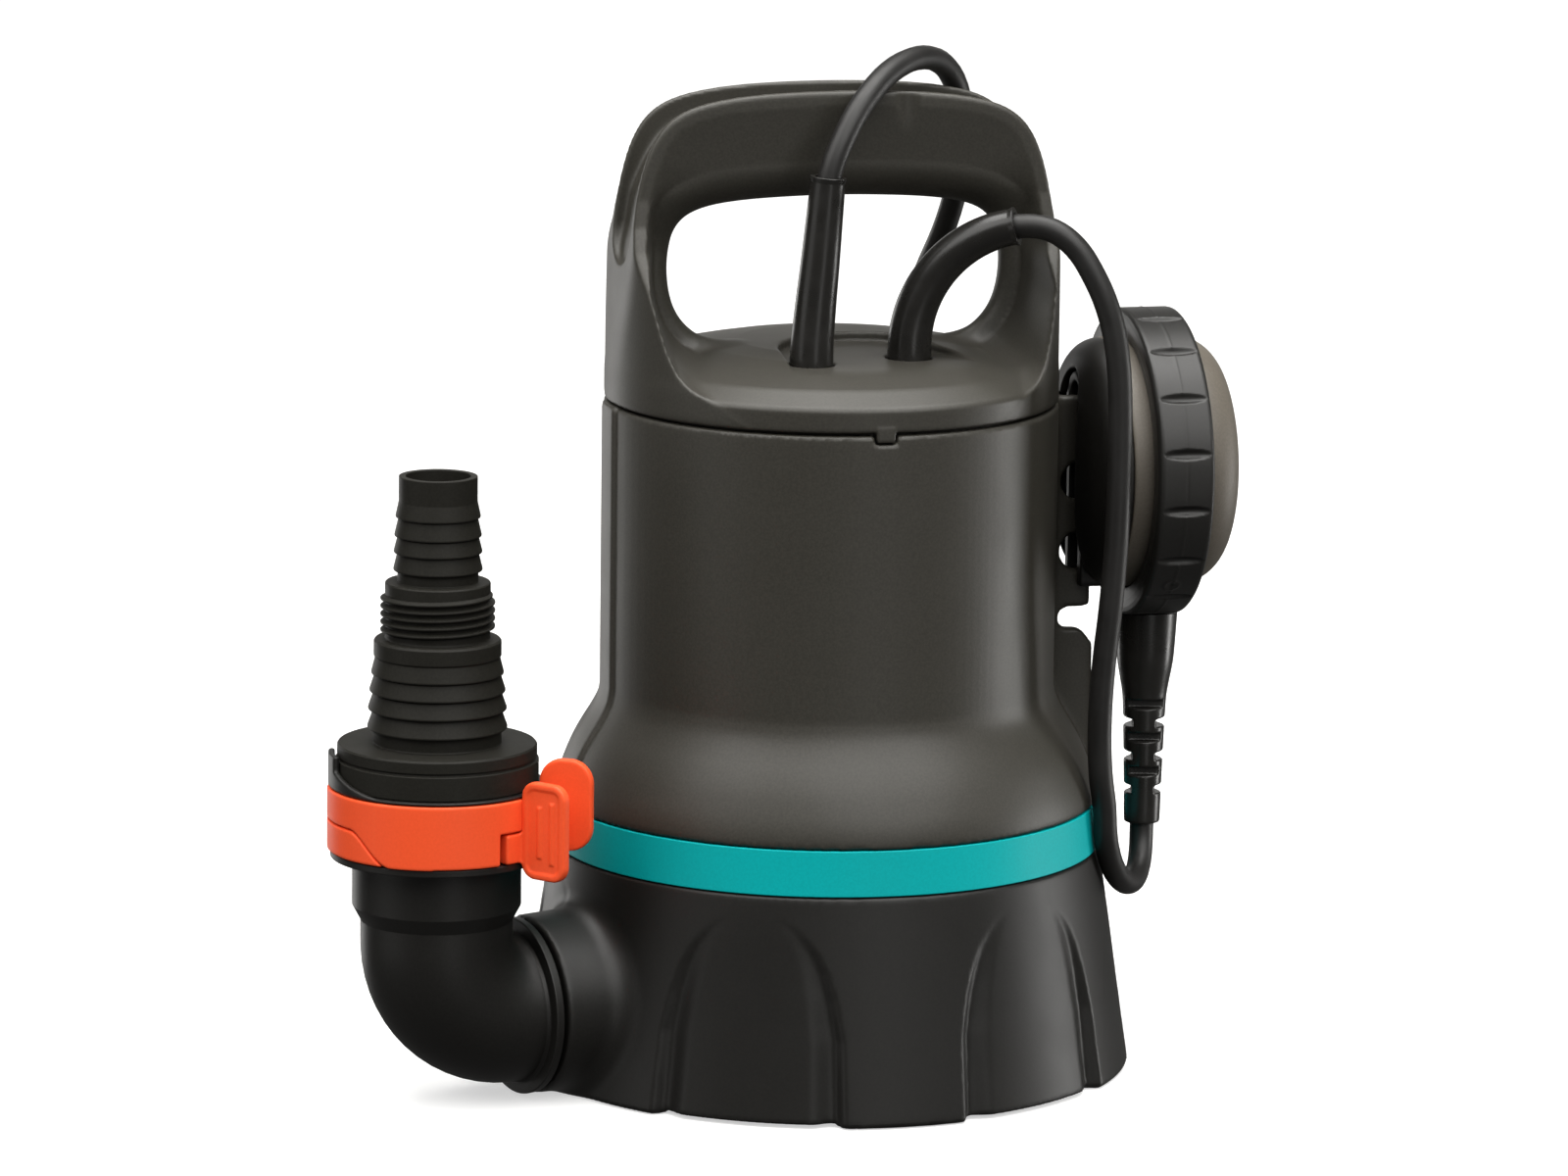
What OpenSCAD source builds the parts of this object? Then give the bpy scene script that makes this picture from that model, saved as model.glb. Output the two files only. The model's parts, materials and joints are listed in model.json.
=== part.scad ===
// Submersible sump pump for clear water: a motor housing with a carrying
// handle on a fluted foot, a turnable outlet elbow with a locking ring and a
// stepped hose adapter, a float switch hung on a rail, and a mains lead.
// Millimetres. +Z is up, the origin is on the pump axis at floor level, the
// handle's width runs along X and the front of the pump faces -Y.

/* [Housing] */
// Outer radius of the straight motor housing wall
housing_r = 67.4; // [67:0.1:67.8]
// Height of the seam between the housing and the handle cap
seam_z = 200; // [199.5:0.1:200.5]
// Wall thickness of the housing and the cap
wall = 3; // [2.4:0.1:3.4]

/* [Handle] */
// Height of the top of the handle
handle_top_z = 293; // [291:0.5:295]
// Half depth of the handle bar, front to back
handle_half_y = 14; // [12:0.5:15]
// Half width of the grip opening
grip_half_x = 48; // [44:0.5:49]
// Height of the top edge of the grip opening
grip_top_z = 260.5; // [256:0.5:262]
// Height of the flat deck that the leads come out of
deck_z = 217.5; // [217:0.1:218]

/* [Foot] */
// Radius of the foot at floor level, over its raised panels
foot_r = 92; // [91:0.1:92.5]
// Radius of the top rim of the foot, under the coloured band
foot_top_r = 81.8; // [81.4:0.1:82]
// Height of the top rim of the foot
foot_h = 66.7; // [66.5:0.1:66.9]
// Depth of the fluted recesses at floor level
flute_depth = 3.4; // [2.5:0.1:3.8]
// Gap under the flutes where water flows in
intake_gap = 1.2; // [0.8:0.1:1.4]

/* [Outlet] */
// Height of the outlet axis above the floor
outlet_z = 27; // [27:0.1:27.3]
// Angle that the outlet is turned forward from the left side
outlet_turn = 17.5; // [15:0.5:20]
// Distance of the upright elbow arm from the pump axis
arm_x = 132; // [131.5:0.1:132.5]

/* [Hose adapter] */
// Outer radius of the one inch pipe thread
thread_r = 16.62; // [16.5:0.01:16.7]
// Pitch of the pipe thread
thread_pitch = 2.309; // [2.309:0.001:2.31]
// Height of the open end of the hose adapter
adapter_top_z = 187; // [186:0.5:188]

/* [Float] */
// Height of the float's axis at rest
float_z = 178.8; // [178.6:0.1:179]
// Outer radius of the float's black ring
float_ring_r = 46; // [45:0.5:46.5]
// Outer radius of the float's two shells
float_dome_r = 37.5; // [37:0.1:37.8]

/* [Leads] */
// Diameter of the mains lead and of the float lead
lead_d = 7.2; // [7:0.1:7.2]
// Mean radius of the coiled mains lead
coil_r = 64; // [63:0.5:64.5]

/* [Hidden] */
$fn = 96;
fin_x = 79.5;
fin_y0 = -5;
fin_y1 = 0;
float_y = -2.5;
coil_c = [42, 177, 0];
flute_slope = (foot_r - foot_top_r) / foot_h;

black = [0.09, 0.09, 0.09];
anthracite = [0.23, 0.23, 0.22];
teal = [0, 0.62, 0.64];
orange = [0.95, 0.36, 0.16];
taupe = [0.36, 0.34, 0.31];
steel = [0.72, 0.73, 0.75];
copper = [0.72, 0.42, 0.22];

// ---- shared shapes ----

// Straight tube standing on its end
module tube(ro, ri, h) difference() {
    cylinder(r = ro, h = h);
    translate([0, 0, -1]) cylinder(r = ri, h = h + 2);
}

// Cylinder along X from x0 to x1, tapering from r0 to r1
module xcyl(r0, r1, x0, x1)
    translate([x0, 0, 0]) rotate([0, 90, 0]) cylinder(r1 = r0, r2 = r1, h = x1 - x0);

// Frame of the outlet: X points out of it and Z = 0 is its axis
module at_outlet() translate([0, 0, outlet_z]) rotate([0, 0, 180 + outlet_turn]) children();

// Frame of the upright arm: the origin is on the floor below its axis
module at_arm() rotate([0, 0, 180 + outlet_turn]) translate([arm_x, 0, 0]) children();

// Ring of n copies
module ring_of(n, start = 0) for (k = [0 : n - 1]) rotate([0, 0, start + 360 / n * k]) children();

// Plate with rounded corners, lying in XY
module rounded_plate(x, y, r, t) linear_extrude(t) union() {
    translate([r, 0]) square([x - 2 * r, y]);
    translate([0, r]) square([x, y - 2 * r]);
    for (i = [r, x - r], j = [r, y - r]) translate([i, j]) circle(r = r, $fn = 32);
}

// Sector of a revolved ring between two angles
module sector(r0, r1, z0, z1, a0, a1)
    rotate([0, 0, a0]) rotate_extrude(angle = a1 - a0)
        translate([r0, z0]) square([r1 - r0, z1 - z0]);

// ---- foot and pump chamber ----

// One arch-shaped recess of the foot, on the +X side
module flute_cut() intersection() {
    difference() {
        translate([0, 0, -1]) cylinder(r = foot_r + 8, h = 63.5);
        rotate_extrude() polygon([[0, -2], [foot_r - flute_depth + 0.1, -2],
            [foot_top_r + flute_slope * (foot_h - 62.5), 62.5], [0, 62.5]]);
    }
    rotate([90, 0, 90]) linear_extrude(110) polygon([[-31, -2], [-27, 20], [-21, 42],
        [-15, 55], [-7, 61], [7, 61], [15, 55], [21, 42], [27, 20], [31, -2]]);
}

module pump_base() color(black) difference() {
    union() {
        difference() {
            rotate_extrude() polygon([[foot_r - 6.8, 0], [foot_r, 0], [foot_top_r, foot_h],
                [76.2, foot_h], [76.2, 60.2], [62.5, 60], [62.5, 56], [77.5, 56]]);
            ring_of(6) flute_cut();
        }
        // screw posts of the suction plate
        ring_of(3, 30) translate([66, 0, 3.8]) cylinder(r = 4.5, h = 52.4, $fn = 32);
        // outlet stub, with its thinner root inside the foot
        at_outlet() xcyl(26.9, 26.2, 77, 102);
        at_outlet() xcyl(23, 23, 62, 78);
    }
    // bore for the volute's spout and the elbow's spigot
    at_outlet() xcyl(21, 21, 50, 103);
    // flow gap under each flute
    ring_of(6) translate([60, -29, -1]) cube([50, 58, 1 + intake_gap]);
    // pilot holes and screw holes
    ring_of(3, 30) translate([66, 0, 3]) cylinder(r = 1.6, h = 14, $fn = 24);
    ring_of(6) translate([70, 0, 50]) cylinder(r = 2.3, h = 12, $fn = 24);
}

module suction_plate() color(black) difference() {
    union() {
        translate([0, 0, 1.4]) cylinder(r = 84, h = 2.4);
        cylinder(r = 16, h = 3.8);
    }
    at_outlet() xcyl(27.3, 27.3, 76, 110);
    ring_of(36) translate([26, -1.3, 0]) cube([30, 2.6, 6]);
    ring_of(3, 30) translate([66, 0, -1]) cylinder(r = 1.75, h = 8, $fn = 24);
}

module screw(head_r, head_h, r, l) {
    translate([0, 0, -head_h]) difference() {
        cylinder(r = head_r, h = head_h, $fn = 32);
        translate([-head_r * 0.6, -0.4, -0.1]) cube([head_r * 1.2, 0.8, head_h * 0.5]);
        translate([-0.4, -head_r * 0.6, -0.1]) cube([0.8, head_r * 1.2, head_h * 0.5]);
    }
    cylinder(r = r, h = l, $fn = 32);
}

module suction_screws() color(steel) ring_of(3, 30) translate([66, 0, 1.4]) screw(3.4, 1.1, 1.55, 13);

module volute_casing() color([0.16, 0.16, 0.17]) difference() {
    union() {
        translate([0, 0, 11]) cylinder(r = 56, h = 37);
        translate([0, 0, 44]) cylinder(r = 61, h = 4);
        at_outlet() xcyl(20.93, 20.93, 40, 84);
    }
    translate([0, 0, 14]) cylinder(r = 52.5, h = 40);
    translate([0, 0, 5]) cylinder(r = 16.5, h = 12);
    at_outlet() xcyl(18.5, 18.5, 38, 90);
    ring_of(4, 65) translate([58.4, 0, 40]) cylinder(r = 1.75, h = 10, $fn = 24);
}

module volute_screws() color(steel) ring_of(4, 65) translate([58.4, 0, 44]) screw(2.3, 2, 1.55, 12);

module volute_seal() color(black) translate([0, 0, 49.2])
    rotate_extrude() translate([54.6, 0]) circle(r = 1.2, $fn = 24);

module impeller() color([0.85, 0.84, 0.8]) difference() {
    union() {
        translate([0, 0, 31]) cylinder(r = 45, h = 3);
        translate([0, 0, 18.5]) cylinder(r = 11, h = 17.5);
        // backward curved vanes
        ring_of(6) intersection() {
            translate([18, -26, 18.5]) tube(33.2, 30.8, 13);
            translate([0, 0, 18]) cylinder(r = 44.6, h = 14);
            rotate([0, 0, -55]) translate([9.5, 0, 18]) cube([60, 60, 14]);
        }
    }
    translate([0, 0, 10]) cylinder(r = 5.03, h = 30);
}

module impeller_nut() color(steel) difference() {
    translate([0, 0, 13.8]) cylinder(r = 6.5, h = 4.6, $fn = 6);
    translate([0, 0, 10]) cylinder(r = 4.03, h = 12);
}

module seal_carrier() color([0.2, 0.2, 0.21]) difference() {
    rotate_extrude() polygon([[12.03, 48], [61, 48], [61, 60.2], [74, 60.2], [74, 64],
        [48, 64], [48, 55], [21, 55], [21, 64], [16.03, 64], [16.03, 53], [12.03, 53]]);
    // groove for the chamber seal
    translate([0, 0, 47]) tube(56, 53.2, 3.5);
    ring_of(4, 65) translate([58.4, 0, 47]) cylinder(r = 1.6, h = 10, $fn = 24);
    ring_of(6) translate([70, 0, 58]) cylinder(r = 2.3, h = 8, $fn = 24);
}

module shaft_seal() color([0.28, 0.12, 0.1]) difference() {
    translate([0, 0, 48.2]) cylinder(r = 12, h = 4.6);
    translate([0, 0, 47]) cylinder(r = 5.06, h = 8);
    translate([0, 0, 47]) tube(9.5, 6.6, 4);
}

// Ball bearing shown as two races and a ring of balls held between them
module bearing(rb, ro, h) {
    t = (ro - rb) * 0.3;
    m = (ro + rb) / 2;
    difference() {
        cylinder(r = ro, h = h);
        translate([0, 0, -1]) cylinder(r = rb, h = h + 2);
        translate([0, 0, h - 1]) tube(ro - t, rb + t, 2);
        translate([0, 0, -1]) tube(ro - t, rb + t, 2);
    }
}

module lower_bearing() color(steel) translate([0, 0, 53.2]) bearing(6.03, 16, 10);
module upper_bearing() color(steel) translate([0, 0, 155]) bearing(5.03, 15, 9);

module motor_shaft() color(steel) rotate_extrude() polygon([[0, 13.2], [4, 13.2], [4, 18.5],
    [5, 18.5], [5, 53], [6, 53.2], [6, 152], [5, 152.2], [5, 163.4], [0, 163.4]]);

module rotor_core() color([0.55, 0.55, 0.56]) difference() {
    union() {
        translate([0, 0, 88]) cylinder(r = 25.4, h = 48);
        translate([0, 0, 84]) tube(24, 15, 56);
    }
    translate([0, 0, 80]) cylinder(r = 6.02, h = 70);
}

module stator_core() color([0.5, 0.5, 0.52]) difference() {
    translate([0, 0, 88]) tube(50.35, 26, 48);
    ring_of(24) translate([25, -1, 87]) cube([3, 2, 50]);
    ring_of(24) translate([28, -2, 87]) cube([12, 4, 50]);
}

module winding() rotate_extrude() polygon([[30, 1], [32, 0], [44, 0], [46.5, 3], [46.5, 12],
    [44, 16], [34, 16], [30, 13]]);
module lower_winding() color(copper) translate([0, 0, 87.8]) mirror([0, 0, 1]) winding();
module upper_winding() color(copper) translate([0, 0, 136.2]) winding();

module motor_can() color(steel) translate([0, 0, 64]) tube(52, 50.4, 94);

module upper_motor_cover() color([0.6, 0.6, 0.61]) rotate_extrude() polygon([[0, 164.3],
    [15.03, 164.3], [15.03, 154], [19, 154], [19, 158.2], [50.3, 158.2], [52, 158.2],
    [52, 161.5], [20, 161.5], [18, 167.5], [0, 167.5]]);

module thermal_switch() color([0.12, 0.12, 0.12]) {
    translate([34, -6, 161.6]) cube([10, 12, 5]);
    translate([39, 0, 166.6]) cylinder(r = 3.6, h = 2.2, $fn = 32);
}

module run_capacitor() color([0.8, 0.8, 0.82]) {
    translate([0, 36, 186]) xcyl(13.5, 13.5, -25, 25);
    // strap that holds the capacitor on the motor cover
    difference() {
        translate([-5, 20.4, 161.6]) cube([10, 31.2, 39.6]);
        translate([0, 36, 186]) xcyl(13.4, 13.4, -9, 9);
        translate([-9, 22.4, 158]) cube([18, 27.2, 28]);
    }
}

module terminal_block() color([0.9, 0.9, 0.86]) difference() {
    translate([-20, -35, 161.6]) cube([40, 14, 13]);
    for (x = [-15 : 7.5 : 15]) translate([x, -28, 170]) cylinder(r = 2.2, h = 8, $fn = 24);
}

module base_screws() color(steel) ring_of(6) translate([70, 0, 56]) screw(4, 2.4, 2, 12);

module housing_gasket() color(black) translate([0, 0, 64]) difference() {
    tube(74, 63.5, 0.8);
    ring_of(6) translate([70, 0, -1]) cylinder(r = 2.3, h = 4, $fn = 24);
}

// ---- housing, band and cap ----

module decor_ring() color(teal) rotate_extrude() polygon([[78.5, foot_h + 0.1],
    [foot_top_r - 0.2, foot_h + 0.1], [80.95, 80.7], [78.5, 80.7]]);

module housing_outer() rotate_extrude() polygon([[0, 64.8], [75.9, 64.8], [75.9, foot_h + 0.1],
    [78.3, foot_h + 0.1], [78.3, 80.8], [80.9, 80.8], [80.7, 83.2], [79.7, 87], [78.1, 91.5],
    [76, 96.3], [73.8, 100.5], [71.5, 104.5], [69.4, 108.3], [68, 111.5], [housing_r, 115],
    [housing_r, seam_z], [0, seam_z]]);

module motor_housing() color(anthracite) difference() {
    union() {
        housing_outer();
        // rail that the float hangs on
        translate([60, fin_y0, 83]) cube([fin_x - 60, fin_y1 - fin_y0, 116]);
        // raised strip on the side away from the float
        intersection() {
            translate([-1, 0, 0]) housing_outer();
            translate([-90, -8, 82]) cube([60, 16, seam_z - 83]);
        }
    }
    rotate_extrude() polygon([[0, 60], [62.5, 60], [62.5, 67.6], [75.2, 67.6], [75.2, 80],
        [77.2, 83], [76.2, 87], [74.8, 91], [72.8, 95.3], [70.6, 99.5], [68.4, 103.5],
        [66.3, 107.3], [65, 110.5], [housing_r - wall, 114], [housing_r - wall, 210], [0, 210]]);
    // lead holes and lead notch in the rail
    for (z = [172.8, 152.4]) translate([73.6, 10, z]) rotate([90, 0, 0]) cylinder(r = 4.6, h = 30);
    translate([78, 10, 131.8]) rotate([90, 0, 0]) cylinder(r = 5.6, h = 30);
    // notch for the cap's tab
    translate([-3.2, -80, seam_z - 2.9]) cube([6.4, 20, 8]);
    ring_of(6) translate([70, 0, 60]) cylinder(r = 2.05, h = 10, $fn = 24);
}

module cap_seal() color(black) translate([0, 0, 197])
    rotate_extrude() translate([63.1, 0]) circle(r = 1.25, $fn = 24);

// Outline of the handle seen from the front, half width
handle_outline = [[67.4, 204], [67.2, 216], [65.4, 230], [64.4, 246], [62.8, 260], [60.4, 271],
    [57.4, 279], [53, 284.6], [46, 288.6], [34, 291.2], [18, 292.6], [0, handle_top_z]];
function mirrored(P) = concat(P, [for (i = [len(P) - 2 : -1 : 0]) [-P[i][0], P[i][1]]]);
function arc_pts(c, r, a0, a1, n) = [for (k = [0 : n]) let (a = a0 + (a1 - a0) * k / n)
    [c[0] + r * cos(a), c[1] + r * sin(a)]];

module handle_front() rotate([90, 0, 0]) translate([0, 0, -80]) linear_extrude(160)
    difference() {
        polygon(mirrored(handle_outline));
        polygon(concat([[-grip_half_x, deck_z - 16], [grip_half_x, deck_z - 16]],
            arc_pts([grip_half_x - 12, grip_top_z - 12], 12, 0, 90, 6),
            arc_pts([12 - grip_half_x, grip_top_z - 12], 12, 90, 180, 6)));
    }

// Half depth of the handle from bottom to top
handle_depth = [[67.4, 204], [66.6, 207.6], [54, 208], [44, 210], [38.5, 214], [35, 220],
    [30, 232], [24, 240], [19, 247], [15.5, 254], [handle_half_y, 262], [handle_half_y, 300]];

module handle_side() translate([-90, 0, 0]) rotate([90, 0, 90]) linear_extrude(180)
    polygon(concat(handle_depth, [for (i = [len(handle_depth) - 1 : -1 : 0])
        [-handle_depth[i][0], handle_depth[i][1]]]));

module handle_cap() color(anthracite) difference() {
    union() {
        rotate_extrude() polygon([[61, 192], [64.2, 192], [64.2, seam_z + 0.1],
            [housing_r - 0.05, seam_z + 0.1], [housing_r - 0.05, 206.4], [66, 208],
            [60, 211.5], [48, 214.4], [38, 216.4], [28, deck_z], [0, deck_z],
            [0, deck_z - 4], [60, 205]]);
        intersection() {
            handle_front();
            handle_side();
            cylinder(r = housing_r - 0.05, h = 320);
        }
        // tab that locks the cap in the housing's notch
        intersection() {
            translate([-2.8, -80, seam_z - 2.5]) cube([5.6, 30, 3.5]);
            translate([0, 0, 190]) tube(housing_r - 0.1, 62, 20);
        }
    }
    // hollow underside
    translate([0, 0, 0]) rotate_extrude() polygon([[0, 190], [61, 190], [61, 203.5],
        [58, 207.4], [30, deck_z - 3], [0, deck_z - 3]]);
    // seal groove
    translate([0, 0, 195.7]) tube(70, 61.8, 2.6);
    // lead holes
    translate([-13, -28, 200]) cylinder(r = 6.3, h = 30, $fn = 48);
    translate([18.5, -20, 200]) cylinder(r = 6.3, h = 30, $fn = 48);
    // channel over the top of the handle between its two lips
    intersection() {
        difference() {
            translate([-80, -handle_half_y + 4.5, 243]) cube([160, 2 * handle_half_y - 9, 60]);
            rotate([90, 0, 0]) translate([0, 0, -40]) linear_extrude(80)
                polygon(mirrored([for (p = handle_outline)
                    [p[0] * 0.945, p[1] - max(0, (p[1] - 262) * 0.09)]]));
        }
        translate([-80, -30, 243]) cube([160, 60, 70]);
    }
}

// ---- leads ----

module gland() difference() {
    union() {
        translate([0, 0, 206]) cylinder(r = 8.5, h = 2);
        translate([0, 0, 201]) cylinder(r = 6.9, h = 5);
    }
    translate([0, 0, 200]) cylinder(r = lead_d / 2, h = 12);
}
module power_gland() color(black) translate([-13, -28, 0]) gland();
module float_gland() color(black) translate([18.5, -20, 0]) gland();

power_top = [-8.7, -28.4, 270];
module power_bend_sleeve() color(black) {
    translate([-13, -28, 208]) cylinder(r = 6, h = 10.6);
    // collar over the deck
    translate([-13, -28, 217.8]) cylinder(r = 7.2, h = 3.4);
    translate([-13, -28, 219.6]) rotate([0, 4.8, 0]) cylinder(r1 = 6.6, r2 = 5.1, h = 50.6);
}

float_turn = -25;
module float_bend_sleeve() color(black) {
    translate([18.5, -20, 208]) cylinder(r = 6, h = 9.5);
    translate([18.5, -20, deck_z]) rotate([0, 0, float_turn]) translate([38, 0, 0])
        rotate([90, 0, 180]) rotate_extrude(angle = 80) translate([38, 0]) circle(r = 5.8, $fn = 48);
}

// Routes of the leads
power_route = [power_top, [-6.6, -27.6, 275.5], [-3.4, -26, 281.6], [0.6, -23, 287.8],
    [5.7, -19, 292.9], [12, -13, 297.6], [19.8, -6, 300.5], [27.4, 2, 300.7], [34.8, 11, 298],
    [40.6, 18.6, 292.4], [44, 22.5, 285], [45.6, 25, 273.5], [45, 27, 261.5],
    [43.6, 29.5, 252], [41.4, 33.5, 242], [39.4, 40, 233], [38.8, 48, 224.5], [38.8, 57, 216],
    [37.6, 65, 206], [35.6, 69, 194], [32.4, 71, 180], [28.2, 72.5, 166], [23.2, 74, 152],
    [18, 76, 138], [13, 79, 124], [8, 82, 111], [3, 85, 99], [-1.5, 87.5, 87], [-5.5, 89.5, 75],
    [-8, 91.5, 63], [-8.5, 93.5, 51], [-6, 95.5, 39], [-0.5, 97.5, 28], [7, 98.8, 18.5],
    [16, 99.5, 11], [26, 99.6, 6], [36, 99, 4.6], [42, 98.6, 4.4]];
float_route = [[46.9, -33.2, 254.9], [52.2, -35.8, 255.2], [57.2, -38.2, 254], [63.2, -41, 249],
    [67.4, -43, 242], [70.8, -44.6, 234.5], [73.7, -45.6, 224.5], [75.3, -46, 213],
    [76, -46, 198], [76, -46, 181], [75.6, -46, 163], [74.4, -45.4, 143], [73.2, -44.2, 128],
    [72.6, -43, 114], [72.8, -42, 101], [73.8, -41, 90], [75.4, -39.6, 82],
    [76.2, -38.4, 73.2], [77.6, -36.4, 67.6], [81, -31.8, 60.4], [85.6, -25.4, 55.3],
    [89.6, -19, 53.2], [93.2, -12.6, 53.3], [95.4, -8.4, 55.3], [96.8, -5.4, 58.4],
    [97.6, -3.2, 62.9], [97.8, -2.5, 67.3]];
plug_c = [42, 241, 55.4];
plug_route = [[78, 229.9, 40.6], [74.3, 232.5, 41.2], [69.5, 235.4, 43.6], [64.5, 238, 47.4],
    [60.5, 239.8, 50.8], [56.5, 240.7, 53.8], [52.5, 241, 55.4]];

function unit(v) = v / norm(v);
function heading(P, i) = unit(P[min(i + 1, len(P) - 1)] - P[max(i - 1, 0)]);
function sides(P, i, u) = i == len(P) ? [] :
    let (t = heading(P, i), v = unit(u - (u * t) * t)) concat([v], sides(P, i + 1, v));

// Round tube swept along a route, n-sided
module lead(P, d, u0, n = 8) {
    U = sides(P, 0, u0);
    L = len(P);
    pts = [for (i = [0 : L - 1]) let (t = heading(P, i), v = cross(t, U[i]))
        for (k = [0 : n - 1]) P[i] + d / 2 * (cos(360 * k / n) * U[i] + sin(360 * k / n) * v)];
    faces = concat([[for (k = [0 : n - 1]) k], [for (k = [n - 1 : -1 : 0]) (L - 1) * n + k]],
        [for (i = [0 : L - 2], k = [0 : n - 1]) [i * n + k, (i + 1) * n + k,
            (i + 1) * n + (k + 1) % n, i * n + (k + 1) % n]]);
    polyhedron(points = pts, faces = faces, convexity = 6);
}

module power_cord() color(black) lead(power_route, lead_d, [0, 1, 0]);
module float_cord() color(black) lead(float_route, lead_d, [0, 0, 1]);
module power_cord_end() color(black) lead(plug_route, lead_d, [0, 0, 1]);

module power_cord_coil() color(black) translate(coil_c) rotate_extrude() polygon([
    [coil_r - 18, 3.6], [coil_r - 15, 0.8], [coil_r + 15, 0.8], [coil_r + 18, 3.6],
    [coil_r + 18, 33.8], [coil_r + 15, 36.8], [coil_r - 15, 36.8], [coil_r - 18, 33.8]]);

// Strap round the windings of the coil
module cord_tie() color([0.12, 0.12, 0.12]) translate(coil_c) rotate([0, 0, 165]) difference() {
    translate([coil_r - 19.4, -6, 0]) cube([38.8, 12, 38]);
    translate([coil_r - 18.2, -7, 0.8]) cube([36.4, 14, 36]);
    rotate_extrude() polygon([[coil_r - 18, 3.6], [coil_r - 15, 0.8], [coil_r + 15, 0.8],
        [coil_r + 18, 3.6], [coil_r + 18, 33.8], [coil_r + 15, 36.8], [coil_r - 15, 36.8],
        [coil_r - 18, 33.8]]);
}

// Two-pin earthed mains plug lying on the coil, its pins pointing to -X
module power_plug() color(black) translate(plug_c) {
    rotate([0, 90, 0]) rotate_extrude() polygon([[0, -29], [17, -29], [18.4, -27.5], [18.4, -15],
        [17.4, -12], [13, -4], [7.4, 2], [4.9, 10.5], [0, 10.5]]);
    for (y = [-9.5, 9.5]) translate([0, y, 0]) xcyl(2, 2.4, -48, -28);
}

// ---- elbow, valve, locking ring and adapter ----

bend_r = 23;
module outlet_elbow() color(black) difference() {
    union() {
        at_outlet() xcyl(20.93, 20.93, 86, 104);
        at_outlet() xcyl(26, 26.2, 103.4, 106.2);
        at_outlet() xcyl(22.35, 22.35, 105, arm_x - bend_r + 0.4);
        at_outlet() translate([arm_x - bend_r, 0, bend_r]) rotate([90, 0, 0])
            rotate_extrude(angle = -90) translate([bend_r, 0]) rotate(90) circle(r = 22.2);
        at_arm() rotate_extrude() polygon([[0, outlet_z + bend_r - 0.4],
            [22.35, outlet_z + bend_r - 0.4], [22.35, 56.6], [24.6, 61], [24.6, 72], [31, 72.5], [31, 77], [27.9, 77], [27.9, 95.5],
            [31.4, 95.5], [31.4, 99], [0, 99]]);
        // stop step of the locking ring
        at_arm() sector(28, 31.9, 97, 106.2, -28, -14);
    }
    at_outlet() xcyl(18.6, 18.6, 80, arm_x - bend_r + 0.3);
    at_outlet() translate([arm_x - bend_r, 0, bend_r]) rotate([90, 0, 0])
        rotate_extrude(angle = -90) translate([bend_r, 0]) rotate(90) circle(r = 18.5);
    at_arm() translate([0, 0, outlet_z + bend_r - 0.3]) cylinder(r = 18.6, h = 60);
    at_arm() translate([0, 0, 72]) cylinder(r = 22, h = 40);
    at_arm() translate([0, 0, 99]) cylinder(r = 29.8, h = 10);
    // groove for the seal on the spigot
    at_outlet() difference() {
        xcyl(24, 24, 92, 95.2);
        xcyl(19.6, 19.6, 91, 96);
    }
}

module elbow_seal() color([0.15, 0.15, 0.15]) at_outlet() rotate([0, 90, 0])
    translate([0, 0, 93.6]) rotate_extrude() translate([20.25, 0]) circle(r = 0.6, $fn = 24);

module valve_seat() color([0.85, 0.84, 0.8]) at_arm() difference() {
    union() {
        translate([0, 0, 57]) cylinder(r = 18.45, h = 3);
        for (y = [-4.2, 2.2]) translate([-17.5, y, 59.5]) cube([4, 2, 5]);
    }
    translate([0, 0, 56]) cylinder(r = 13.5, h = 5);
    translate([-15.2, -10, 62.3]) rotate([-90, 0, 0]) cylinder(r = 0.8, h = 20, $fn = 24);
}

module valve_pin() color(steel) at_arm()
    translate([-15.2, -4.4, 62.3]) rotate([-90, 0, 0]) cylinder(r = 0.78, h = 8.8, $fn = 24);

module valve_flap() color([0.25, 0.1, 0.08]) at_arm() difference() {
    union() {
        translate([0.3, 0, 60.3]) cylinder(r = 15, h = 2);
        translate([-15.2, -1.8, 62.3]) rotate([-90, 0, 0]) cylinder(r = 1.7, h = 3.6, $fn = 32);
        translate([-15.2, -1.8, 60.6]) cube([5, 3.6, 1.7]);
    }
    translate([-15.2, -10, 62.3]) rotate([-90, 0, 0]) cylinder(r = 0.83, h = 20, $fn = 24);
    // room for the lugs of the seat
    for (y = [-4.6, 1.8]) translate([-18, y, 59]) cube([5.4, 2.8, 6]);
}

clip_r0 = 28.2;
clip_r1 = 31.9;
// Squeeze lever of the locking ring: an upright paddle
module paddle(a, r0, r1, z0, z1) rotate([0, 0, a]) translate([r0, 1.5, z0]) rotate([90, 0, 0])
    rounded_plate(r1 - r0, z1 - z0, 3.5, 3);

module locking_clip_front() color(orange) at_arm() union() {
    difference() {
        sector(clip_r0, clip_r1, 77.4, 95.1, -29, 134);
        sector(clip_r0 - 2, clip_r1 + 2, 76, 86.4, -40, 31);
        sector(clip_r0 - 2, clip_r1 + 2, 76, 86.4, 96.5, 140);
    }
    difference() {
        paddle(132.6, 30, 47.5, 79.5, 106.5);
        translate([0, 0, 60]) cylinder(r = 32.4, h = 26.8);
        translate([0, 0, 94.7]) cylinder(r = 32.4, h = 20);
    }
}

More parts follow.
